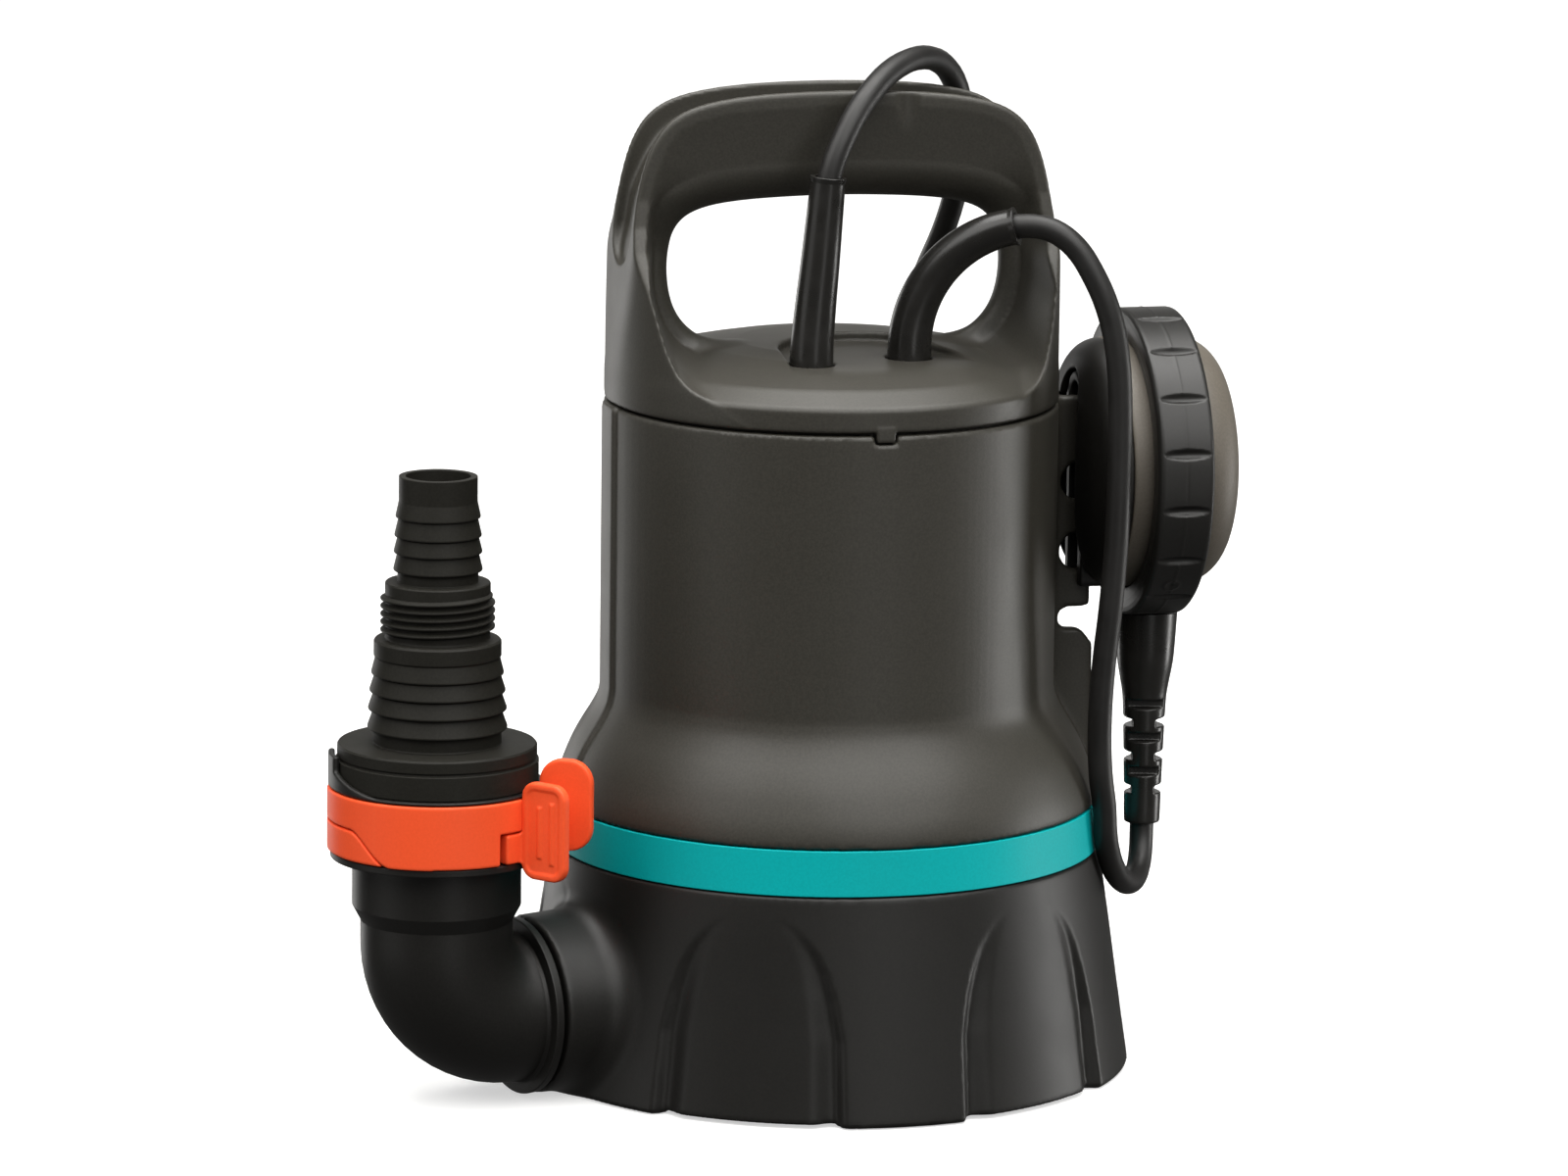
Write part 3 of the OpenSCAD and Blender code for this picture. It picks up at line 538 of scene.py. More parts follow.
for i in range(1, len(mains)):
    if np.linalg.norm(mains[i] - mains[keep[-1]]) > 1.2:
        keep.append(i)
mains = mains[keep]
for _ in range(2):
    mains[1:-1] = 0.25 * mains[:-2] + 0.5 * mains[1:-1] + 0.25 * mains[2:]

cu = bpy.data.curves.new("mains_lead", "CURVE")
cu.dimensions = "3D"
cu.bevel_depth = LEAD / 2 * 0.001
cu.bevel_resolution = 4
cu.use_fill_caps = True
sp = cu.splines.new("POLY")
sp.points.add(len(mains) - 1)
sp.points.foreach_set("co", np.c_[mains * 0.001, np.ones(len(mains))].ravel())
sp.use_smooth = True
mains_lead = bpy.data.objects.new("mains_lead", cu)
scene.collection.objects.link(mains_lead)

float_pts = smooth_path(FLOAT, 2.2)
for _ in range(2):
    float_pts[1:-1] = 0.25 * float_pts[:-2] + 0.5 * float_pts[1:-1] + 0.25 * float_pts[2:]
float_lead = tube("float_lead", float_pts, LEAD / 2, seg=24, step=2.0)

# ---------------------------------------------------------------- sleeves on the leads
def sleeve(name, P, r0, r1, bore, flare=0.35):
    P = smooth_path(P, 2.0)
    run = path_run(P)
    L = run.length
    out = [(bore, 0.0), (r0, 0.0)]
    for t in np.linspace(0.1, 0.9, 9):
        out.append((r0 + (r1 - r0) * t, L * t))
    out += [(r1, L - 1.6), (r1 + flare, L), (bore + 0.15, L), (bore, L - 2)]
    return turned(name, out, r=0.25, seg=48, run=run, step=2.0)


power_sleeve = sleeve(
    "power_sleeve",
    [[-13, -28, 208.4], [-13, -28, 214], [-12.9, -28, 220], [-12.0, -28.1, 232],
     [-10.9, -28.2, 244], [-9.9, -28.3, 256], [-8.75, -28.4, 269.8]],
    6.6, 5.1, 3.75,
)
bend = [[18.5, -20, 208.4], [18.5, -20, 213], [18.5, -20, 217.5]]
ca, sa = math.cos(math.radians(-25)), math.sin(math.radians(-25))
for a in range(8, 81, 8):
    out = 38 - 38 * math.cos(math.radians(a))
    bend.append([18.5 + out * ca, -20 + out * sa, 217.5 + 38 * math.sin(math.radians(a))])
float_sleeve = sleeve("float_sleeve", bend, 6.7, 5.35, 3.75, 0.45)

# ---------------------------------------------------------------- foot
AZ60 = math.radians(60)


def flutes(x, y, z):
    """Depth of the six moulded recesses of the foot."""
    az = np.arctan2(y, x) - math.radians(2.0)
    az = np.abs(az - AZ60 * np.round(az / AZ60))
    half = np.radians(np.interp(z, [0, 25, 37, 45, 50, 54, 57, 60.5, 64],
        [18.7, 18.4, 17.0, 15.4, 13.8, 11.8, 9.8, 6.0, 0.1]))
    deep = np.interp(z, [0, 15, 30, 42, 50, 55, 60, 63], [3.7, 3.3, 2.6, 1.6, 0.8, 0.3, 0.04, 0])
    e = (half - az) * (90 - 0.14 * z)  # millimetres inside the edge
    near = np.degrees(half) / 18.7
    bowl = 1.0 - 0.68 * ramp(e, 3.0 * near, 10.5 * near)
    wall = ramp(e, -0.2, 3.0)
    return (deep * bowl * wall).astype(np.float32)


def foot():
    g = Grid((-97.5, -95.5, -1.8), (95.5, 95.5, 69), 1.08 * COARSE)
    x, y, z = g.x, g.y, g.z
    r = np.sqrt(x * x + y * y)
    slope_k = (92 - 81.8) / 66.7
    skin = (r - (92 - slope_k * z) + flutes(x, y, z)) / 1.02
    skin = smax(skin, z - 66.7, 0.8)
    inner = revolve(g, r, [[0, -5], [85.2, -5], [85.2, 0], [77.6, 56], [62.5, 56],
        [62.5, 60], [76.2, 60], [76.2, 80], [0, 80]])
    ox = x * ROT[0, 0] + y * ROT[1, 0]
    oy = x * ROT[0, 1] + y * ROT[1, 1]
    rr = np.sqrt(oy * oy + (z - OUT_Z) ** 2)
    F = smax(skin, -z, 1.6)
    stub = smax(rr - (26.9 - 0.028 * (ox - 77)), np.maximum(ox - 102.0, 60 - ox), 0.9)
    F = smin(F, stub, 6.0)
    F = smax(F, -z, 1.2)
    F = smax(F, -inner, 0.8)
    root = np.maximum(rr - 23.5, np.maximum(ox - 90.0, 62 - ox))
    F = np.minimum(F, root)
    for k in range(3):
        a = math.radians(30 + 120 * k)
        post = np.sqrt((x - 66 * math.cos(a)) ** 2 + (y - 66 * math.sin(a)) ** 2) - 4.5
        F = np.minimum(F, np.maximum(post, np.maximum(3.8 - z, z - 58)))
    F = smax(F, -np.maximum(rr - 21.0, 48 - ox), 0.6)
    # water gaps under the recesses
    az = np.arctan2(y, x) - math.radians(2.0)
    az = np.abs(az - AZ60 * np.round(az / AZ60))
    gap = np.maximum((az - np.radians(17)) * 88, z - 1.2)
    F = smax(F, -gap, 0.5)
    return moulded("foot", g, F, 0.0)


foot_obj = foot()

# ---------------------------------------------------------------- coloured band
band = turned(
    "band",
    [(78.5, 66.95), (81.72, 66.95), (80.98, 80.35), (78.5, 80.35)],
    r=0.35,
    seg=256,
)

# ---------------------------------------------------------------- motor housing
BODY = [[0, 64.8], [75.9, 64.8], [75.9, 66.8], [78.2, 66.8], [78.2, 80.7], [80.85, 80.7],
    [80.75, 83.2], [79.9, 87], [78.3, 91.5], [76.3, 96.3], [73.8, 100.9], [71.2, 105.0],
    [69.2, 108.6], [68.0, 111.6], [67.4, 115.0]]
BODY_IN = [[0, 60], [62.5, 60], [62.5, 67.6], [75.2, 67.6], [75.2, 80], [77.2, 83],
    [76.2, 87], [74.8, 91], [72.8, 95.3], [70.6, 99.5], [68.4, 103.5], [66.3, 107.3],
    [65, 110.5], [64.4, 114], [64.4, 210], [0, 210]]


def housing():
    g = Grid((-83, -83, 63), (83, 83, 201.6), 1.2 * COARSE)
    x, y, z = g.x, g.y, g.z
    r = np.sqrt(x * x + y * y)
    lower = soften(BODY[5:], 2, closed=False).tolist()
    out = BODY[:5] + lower + [[67.4, 199.85], [0, 199.85]]
    F = revolve(g, r, out)
    F = smax(F, z - 199.85, 0.9)
    # strip on the side away from the float
    strip = revolve(g, np.sqrt((x + 1.0) ** 2 + y * y), out)
    strip = np.maximum(strip, box(x, y, z, (-95, -7.9, 82.5), (-50, 7.9, 199.85), 0.5))
    F = smin(F, strip, 0.7)
    # rail of the float
    rail = box(x, y, z, (55, -5, 83), (79.6, 0, 199.2), 1.1)
    rail = np.minimum(rail, box(x, y, z, (55, -5, 83), (80.7, 0, 130), 1.1))
    F = smin(F, rail, 2.6)
    F = smax(F, -revolve(g, r, BODY_IN), 0.6)
    for hz in (173.3, 152.1):
        hole_r = smax(np.sqrt((x - 75.6) ** 2 + (z - hz) ** 2) - 5.6, x - 78.0, 1.6)
        F = smax(F, -hole_r + 0 * y, 1.0)
    gap = np.where(x < 73.0, np.sqrt((x - 73.0) ** 2 + (z - 131.9) ** 2), np.abs(z - 131.9)) - 3.2
    gap = gap - 4.2 * ramp(x, 75.2, 82.5) * (z < 131.9) - 1.2 * ramp(x, 77.5, 81)
    F = smax(F, -gap + 0 * y, 0.9)
    tab = box(x, y, z, (-3.2, -90, 197.1), (3.2, -50, 205), 0.3)
    F = smax(F, -tab, 0.4)
    return moulded("housing", g, F, 0.0)


housing_obj = housing()

# ---------------------------------------------------------------- cap with the handle
OUTLINE = [[67.4, 196], [67.4, 204], [67.2, 216], [65.6, 230], [64.5, 246], [62.9, 260],
    [60.5, 271], [57.4, 279], [53, 284.8], [46, 288.8], [34, 291.4], [18, 292.7], [0, 293.0]]
LIP_Z = [200, 206, 207.6, 208, 210, 214, 220, 232, 240, 247, 254, 262, 300]
LIP_Y = [50, 48, 46.5, 45.5, 42.5, 38.5, 35, 30, 24, 19, 15.5, 14, 14]
GRIP = [[0, 260.7], [14, 260.4], [27.5, 259.7], [38, 258.3], [45, 255.7], [48.8, 251.4],
    [50.2, 245.5], [50.6, 239.5], [49.9, 233.0], [48.2, 227.6], [45.2, 223.2], [41, 219.8],
    [35, 217.0], [27, 214.5], [27, 205]]


def both_sides(P):
    return [list(p) for p in P] + [[-p[0], p[1]] for p in P[::-1] if p[0] > 1e-6]


def cap():
    g = Grid((-69.5, -69.5, 190.5), (69.5, 69.5, 295.5), 0.8 * COARSE)
    x, y, z = g.x, g.y, g.z
    r = np.sqrt(x * x + y * y)
    ay = np.abs(y)
    full = soften(both_sides(OUTLINE), 2)
    out = polygon(x[:, 0], z[0], full)[:, None, :]
    hole = polygon(x[:, 0], z[0], soften(both_sides(GRIP), 2))[:, None, :]
    D = np.interp(g.z[0, 0], LIP_Z, LIP_Y)[None, None, :].astype(np.float32)
    # line where the front face meets the round side
    lz = np.linspace(206.0, 293, 60)
    ox = np.interp(lz, [p[1] for p in OUTLINE], [p[0] for p in OUTLINE])
    ld = np.interp(lz, LIP_Z, LIP_Y)
    lx = np.minimum(ox, np.sqrt(np.maximum(67.35**2 - ld**2, 30**2)))
    lip = soften(both_sides([[30, 196]] + [[a, b] for a, b in zip(lx, lz)] + [[0, 293]]), 1)
    w = -polygon(x[:, 0], z[0], lip)[:, None, :]
    top = ramp(z, 244, 264)
    rho = 5.0 + 6.5 * top
    d = hole
    flat = 4.0 * ramp(z, 232, 246)
    q = np.clip((d - rho) / np.maximum(d - rho + np.maximum(w - flat, 0), 1e-3), 0, 1)
    q = np.where(w <= flat, 1.0, q)
    q = np.where(d <= rho, 0.0, q)
    p = 1.2 - 0.15 * top
    Y = rho + (D - rho) * q**p
    gz = np.gradient(Y[:, 0, :], g.h, axis=1)[:, None, :]
    gx = np.gradient(Y[:, 0, :], g.h, axis=0)[:, None, :]
    body = (ay - Y) / np.sqrt(1 + np.clip(gx * gx + gz * gz, 0, 6))
    rim = np.sqrt((rho - d) ** 2 + y * y) - rho
    F = np.where(d < rho, rim, body)
    F = smax(F, out, 1.6)
    F = smax(F, r - 67.35, 1.2)
    F = np.maximum(F, 204.0 - z)
    deck = revolve(g, r, [[0, 190], [67.35, 190], [67.35, 206.6], [66.2, 207.8], [60.3, 211.3],
        [59.0, 211.9], [48, 214.4], [38, 216.4], [28, 217.5], [0, 217.5]])
    deck = smax(deck, 200.2 - z, 0.9)
    F = smin(F, deck, 5.5)
    F = smax(F, r - 67.35, 0.9)
    F = smax(F, 200.2 - z, 0.7)
    # channel over the top of the handle, with round ends
    end = np.where(z > 252.5, ay - 11.4, np.sqrt(y * y + (z - 252.5) ** 2) - 11.4)
    depth = np.interp(z, [238, 243, 252, 262, 280], [0.0, 2.0, 3.4, 3.7, 7.0]).astype(np.float32)
    F = smax(F, -smax(end, -out - depth, 2.0), 0.7)
    # recess round the leads
    rec = polygon(x[:, :, 0], y[:, :, 0], soften([[-22, -62], [-20.3, -23.2], [-19, -8.6],
        [-12, 3.4], [-4, 9.8], [3.6, 12.3], [11.8, 12.9], [19.5, 9.8], [24, 0.5],
        [27.7, -12.1], [34, -25], [44, -45], [48, -62]], 2))[:, :, None]
    F = smax(F, -np.maximum(rec, np.maximum(214.75 - z, z - 228)), 1.0)
    # hollow underside, with the ring that stands in the housing
    hollow = revolve(g, r, [[0, 185], [61, 185], [61, 203.0], [57, 206.0], [30, 211.4],
        [0, 211.4]])
    ring = revolve(g, r, [[61, 192], [64.1, 192], [64.1, 202], [61, 202]])
    F = np.minimum(F, ring)
    F = smax(F, -hollow, 0.8)
    F = np.maximum(F, -np.maximum(61.8 - r, np.abs(z - 197.0) - 1.3))
    for hx, hy in ((-13, -28), (18.5, -20)):
        F = smax(F, -np.maximum(np.sqrt((x - hx) ** 2 + (y - hy) ** 2) - 6.95, 204 - z), 0.5)
    tab = box(x, y, z, (-2.7, -70, 197.6), (2.7, -61.5, 202), 0.3)
    tab = np.maximum(tab, r - 67.35)
    F = np.minimum(F, tab)
    return moulded("cap", g, F, 0.0)


cap_obj = cap()

# ---------------------------------------------------------------- elbow
ARC = BEND_R * math.pi / 2
S0 = ARM_X - BEND_R + ARC - (OUT_Z + BEND_R)  # run length minus height, on the arm


def up(z):
    return z + S0


elbow_pipe = turned(
    "elbow_pipe",
    [(18.5, 86.0), (20.3, 86.0), (20.93, 87.0), (20.93, 92.0), (19.6, 92.0), (19.6, 95.2),
     (20.93, 95.2), (20.93, 103.4), (26.0, 103.4), (26.15, 106.0), (22.6, 106.15),
     (22.2, 107.2), (22.2, up(56.3)), (24.6, up(60.8)), (24.6, up(74.8)), (31.0, up(75.2)),
     (31.0, up(77.25)), (27.9, up(77.35)), (27.9, up(96.25)), (31.4, up(96.3)),
     (31.4, up(97.05)), (22.2, up(97.05)), (22.2, up(72.0)), (18.5, up(70.5))],
    r=0.45, seg=144, run=elbow_run, step=2.5, at=at_outlet,
)


def stop_step():
    """Raised step with its ramp, on the elbow's rim."""
    g = Grid((-38, -38, 95), (38, 38, 108.5), 0.45 * COARSE)
    x, y, z = g.x, g.y, g.z
    r = np.sqrt(x * x + y * y)
    az = np.degrees(np.arctan2(y, x))
    arc = lambda a: (az - a) * math.radians(1) * 30
    ring = np.abs(r - 30.65) - 0.95
    step = np.maximum(np.abs(arc(-22)) - 6.7, z - 106.1)
    climb = 96.3 + 5.4 * np.clip((50 - az) / 59, 0, 1.4) ** 1.9
    slant = np.maximum(np.maximum(arc(50), -arc(-24)), (z - climb) / 1.15)
    F = smax(ring, smin(step, slant, 0.8), 0.7)
    F = smax(F, 96.4 - z, 0.5)
    return moulded("stop_step", g, F, 0.0, at_arm)


elbow_obj = join([elbow_pipe, stop_step()], "elbow")


# ---------------------------------------------------------------- locking ring
def wave(az):
    """Height of the parting line between the two halves, by angle."""
    return 86.9 - 9.6 * ramp(az, 9.0, 37.0)


def paddle(g, a, r0, r1, z0, z1, rad, grip):
    """Upright lever with rounded corners and, if asked, a raised border and ribs."""
    ca, sa = math.cos(math.radians(a)), math.sin(math.radians(a))
    u = g.x * ca + g.y * sa
    v = -g.x * sa + g.y * ca
    q = np.maximum(np.abs(u - (r0 + r1) / 2) - (r1 - r0) / 2 + rad, 0)
    w = np.maximum(np.abs(g.z - (z0 + z1) / 2) - (z1 - z0) / 2 + rad, 0)
    edge = np.sqrt(q * q + w * w) + np.minimum(
        np.maximum(np.abs(u - (r0 + r1) / 2) - (r1 - r0) / 2 + rad,
                   np.abs(g.z - (z0 + z1) / 2) - (z1 - z0) / 2 + rad), 0) - rad
    half = 1.5
    if grip:
        half = 1.12 + 0.42 * ramp(edge, -2.6, -1.7)
        mid = (r0 + r1) / 2 + 0.9
        for du, za, zb in ((-2.2, z0 + 6.5, z1 - 7.0), (2.2, z0 + 5.0, z1 - 5.5)):
            line = np.maximum(np.abs(u - mid - du) - 0.75, np.maximum(za - g.z, g.z - zb))
            half = half + 0.5 * ramp(-line, -0.35, 0.35)
    return smax(edge, np.abs(v) - half, 1.0)


def clip_front():
    g = Grid((-36.5, -36, 75.5), (36, 41, 108.5), 0.42 * COARSE)
    x, y, z = g.x, g.y, g.z
    r = np.sqrt(x * x + y * y)
    az = np.degrees(np.arctan2(y, x))
    ring = smax(np.abs(r - 30.05) - 1.85, z - 96.0, 0.7)
    low = np.where(az < 60, wave(az), 77.5 + 0 * az)
    F = smax(ring, (low - z) / np.where((az > 9) & (az < 37), 1.25, 1.0), 0.6)
    # the right end stands up over the other half's tongue
    F = smax(F, -np.maximum((97.0 - az) * 0.52, z - 86.7), 0.7)
    F = smax(F, (-29 - az) * 0.52, 0.6)
    F = smax(F, (az - 134) * 0.52, 0.6)
    lever = paddle(g, 132.6, 31.5, 47.6, 79.5, 106.5, 7.0, False)
    lever = np.maximum(lever, -np.maximum(r - 32.5, -smin(z - 86.9, 95.6 - z, 0.1)))
    F = smin(F, lever, 1.2)
    return moulded("clip_front", g, F, 0.0, at_arm)


def clip_rear():
    g = Grid((-36, -36, 70.5), (36, 47, 103.5), 0.42 * COARSE)
    x, y, z = g.x, g.y, g.z
    r = np.sqrt(x * x + y * y)
    az = np.degrees(np.arctan2(y, x))
    az = np.where(az < 70, az + 360, az)  # 70 to 430
    ring = smax(np.abs(r - 30.05) - 1.85, 77.55 - z, 0.7)
    high = np.where(az < 139, 86.1 + 0 * az, np.where(az < 324.5, 96.0 + 0 * az, wave(az - 360) - 0.45))
    F = smax(ring, (z - high) / np.where(az > 369, 1.25, 1.0), 0.6)
    F = smax(F, np.maximum((101.0 - az), (az - 394.5)) * 0.52, 0.7)
    lever = paddle(g, 114.0, 31.6, 47.2, 73, 101.6, 4.6, True)
    lever = np.maximum(lever, -np.maximum(r - 32.5, -smin(z - 77.6, 85.9 - z, 0.1)))
    F = smin(F, lever, 1.2)
    return moulded("clip_rear", g, F, 0.0, at_arm)


clip_front_obj = clip_front()
clip_rear_obj = clip_rear()

# ---------------------------------------------------------------- hose adapter
def barb(z, r, h, d):
    return [(r - d, z - 0.3), (r, z), (r, z + 0.45), (r - d, z + h)]


T_R, T_P = 16.62, 2.309
adapter_body = turned(
    "adapter_body",
    [(17.8, 84), (21.4, 84), (21.92, 84.8), (21.92, 89.9), (20.7, 90), (20.7, 93), (21.92, 93.1),
     (21.92, 97.2), (29.5, 97.2), (29.5, 104.2), (28.5, 104.35), (28.5, 104.95), (29, 105.1),
     (29, 108.2), (28.6, 108.75), (18.75, 108.8), (18.6, 109.2), (18.6, 112)]
    + barb(113.2, 20.3, 5, 1.6) + barb(118.7, 20.1, 4.8, 1.5) + barb(124, 19.7, 4.8, 1.4)
    + barb(129.2, 19.2, 4.8, 1.1)
    + [(18.5, 134.5), (18.5, 138.7), (18.0, 139.3), (15.3, 139.45), (15.14, 140.0),
       (15.14, 152.2), (15.3, 152.5), (15.3, 155.6), (15.0, 156), (11.7, 156.1), (11.7, 158.6)]
    + barb(159.5, 12.9, 4.6, 1) + barb(164.7, 12.8, 4.4, 1) + barb(169.5, 12.6, 4.8, 1)
    + barb(175, 12.3, 4.6, 0.9)
    + [(11.4, 180.4), (11.4, 186.95), (9.4, 186.95), (9.4, 156), (12.4, 151), (12.4, 139),
       (15.5, 135), (15.5, 113), (17.8, 107)],
    r=0.3, seg=144, at=at_arm,
)


def thread():
    """Helical ridge of the pipe thread, running out at both ends."""
    turns_n, per = 5.15, 96
    n = int(turns_n * per)
    t = np.linspace(0, turns_n, n + 1)
    a = 2 * math.pi * t + math.radians(150)
    z = 140.75 + T_P * t
    fade = ramp(t, 0, 0.22) * ramp(turns_n - t, 0, 0.3)
    prof = [(-1.06, 15.05), (-0.26, T_R - 0.06), (-0.12, T_R), (0.12, T_R), (0.26, T_R - 0.06),
            (1.06, 15.05), (0.9, 14.4), (-0.9, 14.4)]
    P = []
    for dz, rr in prof:
        R = 14.4 + (rr - 14.4) * np.where(rr > 14.5, 0.35 + 0.65 * fade, 1)
        P.append(np.stack([R * np.cos(a), R * np.sin(a), z + dz * (0.45 + 0.55 * fade)], 1))
    P = np.array(P)  # (8, n+1, 3)
    V, quads = [], []
    base = 0
    N = []
    for k in range(8):
        A, B = P[k], P[(k + 1) % 8]
        T = np.gradient(A, axis=0)
        nn = np.cross(T, B - A)
        V += [A, B]
        N += [nn, nn]
        i = np.arange(n)
        quads.append(np.stack([base + i, base + i + 1, base + n + 1 + i + 1, base + n + 1 + i], 1))
        base += 2 * (n + 1)
    V, N = np.concatenate(V), np.concatenate(N)
    caps = []
    for e, flip in ((0, False), (n, True)):
        ring = P[:, e]
        T = P[:, min(e + 1, n)].mean(0) - P[:, max(e - 1, 0)].mean(0)
        V = np.concatenate([V, ring])
        N = np.concatenate([N, np.tile(T if flip else -T, (8, 1))])
        idx = base + np.arange(8)
        base += 8
        tri = np.array([[idx[0], idx[j], idx[j + 1]] for j in range(1, 7)])
        caps.append(tri)
    caps = np.concatenate(caps)
    quads = np.concatenate(quads)
    # outward
    c = V[quads].mean(1)
    nrm = np.cross(V[quads[:, 1]] - V[quads[:, 0]], V[quads[:, 3]] - V[quads[:, 0]])
    if (nrm * N[quads[:, 0]]).sum() < 0:
        quads = quads[:, ::-1]
    mid = np.array([0, 0, 0])
    top = np.cross(V[quads[:, 1]] - V[quads[:, 0]], V[quads[:, 3]] - V[quads[:, 0]])
    sel = slice(2 * n, 3 * n)  # the crest faces away from the axis
    rad = c[sel] * np.array([1, 1, 0])
    if (top[sel] * rad).sum() < 0:
        quads = quads[:, ::-1]
        N[: 16 * (n + 1)] *= -1
    fixed = []
    for tri in caps:
        nn = np.cross(V[tri[1]] - V[tri[0]], V[tri[2]] - V[tri[0]])
        fixed.append(tri if nn @ N[tri[0]] > 0 else tri[::-1])
    return make("thread", V, quads, np.array(fixed), N, at_arm)


adapter_obj = join([adapter_body, thread()], "adapter")

# ---------------------------------------------------------------- float
float_run = straight((0, FLOAT_Y, FLOAT_Z), (1, 0, 0), (0, -1, 0))


def at_float(p):
    """Frame along the float's axis, its first axis pointing down."""
    p = np.asarray(p, float)
    return np.stack([p[..., 2], FLOAT_Y + p[..., 1], FLOAT_Z - p[..., 0]], -1)


def inner_dome(black):
    """Inner half of the float: black cap with the groove of the fork, or the taupe rim."""
    lo, hi = (69.4, 85.0) if black else (81.0, 100.6)
    g = Grid((-39.5, -39.5, lo), (39.5, 39.5, hi), 0.62 * COARSE)
    x, y, z = g.x, g.y, g.z
    r = np.sqrt(x * x + y * y)
    F = revolve(g, r, soften([[0, 71.2], [16, 71.4], [24, 72.2], [29.5, 73.8], [33.5, 75.6],
        [36.2, 78.4], [37.5, 82.5], [37.5, 90]], 2, closed=False).tolist()
        + [[37.5, 98.7], [35, 98.7], [35, 106], [0, 106]])
    F = smax(F, z - 98.7, 0.4)
    hollow = revolve(g, r, [[0, 73.6], [14, 73.9], [22, 74.7], [27.5, 76.2], [31, 78], [33.6, 80.6],
        [35, 84], [35, 108], [0, 108]])
    deep = smin(box(x, y, z, (-20, -12.8, 40), (70, 12.8, 84.0), 2.0),
        np.maximum(np.sqrt((x + 19.6) ** 2 + y * y) - 10.9, z - 84.0), 1.0)
    F = smax(F, -np.maximum(hollow, -deep), 0.5)
    groove = smin(box(x, y, z, (-19.6, -10.7, 40), (70, 10.7, 81.9), 0.8),
        np.maximum(np.sqrt((x + 19.6) ** 2 + y * y) - 8.7, z - 81.9), 1.0)
    F = smax(F, -groove, 1.2)
    F = smax(F, z - 82.6, 0.5) if black else smax(F, 82.7 - z, 0.5)
    return moulded("dome" if black else "float_shell_inner", g, F, 0.0, at_float)


inner_shell = inner_dome(False)
outer_line = soften([(20, 117.8), (25, 117.7), (29.5, 117.0), (33, 115.0), (35.6, 112.0), (37.1, 108.4),
    (37.5, 104.4), (37.5, 102)], 3, closed=False)
outer_shell = turned(
    "float_shell_outer",
    [(0, 117.8)] + [tuple(p) for p in outer_line.tolist()]
    + [(37.5, 99.3), (35, 99.3), (35, 106.8), (33.2, 110.8), (29.6, 114), (25, 115.4), (0, 115.4)],
    r=0.3, seg=160, run=float_run,
)


def ring_shape(th, s, R):
    """Grip notches, the mould's parting line and the gate mark."""
    R = R + 0 * th
    outer = ramp(R, 43.5, 45.4)
    ph = -np.degrees(th)  # 0 faces the front, turning upwards
    step = 360 / 17
    d = (ph - 11.7 + step / 2) % step - step / 2
    arc = d * math.radians(1) * 46
    dent = np.clip(1 - ((s - 96.5) / 7.3) ** 2 - (arc / 1.55) ** 2, 0, 1)
    R = R - 1.25 * dent**0.8 * outer
    R = R + 0.14 * np.exp(-(((s - 96.3) / 0.28) ** 2)) * outer * (dent <= 0)
    g = np.sqrt((s - 95.7) ** 2 + (((ph + 43.8 + 180) % 360 - 180) * math.radians(1) * 46) ** 2)
    R = R + outer * (0.22 * np.exp(-(((g - 2.1) / 0.45) ** 2)) - 0.35 * np.exp(-((g / 0.8) ** 2)))
    return R


float_run_r = straight((0, FLOAT_Y, FLOAT_Z), (1, 0, 0), (0, -1, 0))
float_band = turned(
    "float_band",
    [(37.7, 88.4), (41.8, 87.8), (43.8, 87.9), (45.1, 88.25), (45.8, 88.8), (46, 89.6),
     (46, 103.4), (45.8, 104.2), (45.1, 104.75), (43.8, 105.1), (41.8, 105.2), (37.7, 104.9)],
    r=0.8, seg=720, run=float_run_r, step=0.45, rad=ring_shape,
)


def fork():
    """Fork on the float, with the flared arch over the top of the rail."""
    g = Grid((70, -12.5, 139.5), (86, 8, 209.5), 0.4 * COARSE)
    x, y, z = g.x, g.y, g.z
    yc = y - FLOAT_Y
    body = box(x, yc, z, (73.6, -7.2, 142.0), (84.0, 7.2, 199.5), 1.6)
    body = smax(body, (73.6 - x) + 1.4 * ramp(-yc, 0.5, 3.0), 0.8)
    dome = smax(np.sqrt(yc * yc + (z - 198.4) ** 2) - 7.3, np.maximum(74.2 - x, x - 83.5), 1.6)
    F = smin(body, dome, 2.0)
    brow = np.sqrt((np.sqrt(yc * yc + (z - 198.4) ** 2) - 6.9) ** 2 + (x - 75.3) ** 2) - 1.15
    F = smin(F, np.maximum(brow, 196.5 - z), 1.2)
    slot = np.maximum(np.abs(yc) - 2.95, x - 79.95)
    F = smax(F, -np.maximum(slot, z - 199.6), 0.5)
    arch = np.sqrt(yc * yc + (z - 199.0) ** 2) - 4.3 - 0.0 * x
    arch = np.maximum(arch, x - (79.4 - 0.35 * np.maximum(z - 199.0, 0)))
    F = smax(F, -arch, 0.8)
    return moulded("fork", g, F, 0.0)


fork_obj = join([fork(), inner_dome(True)], "fork")


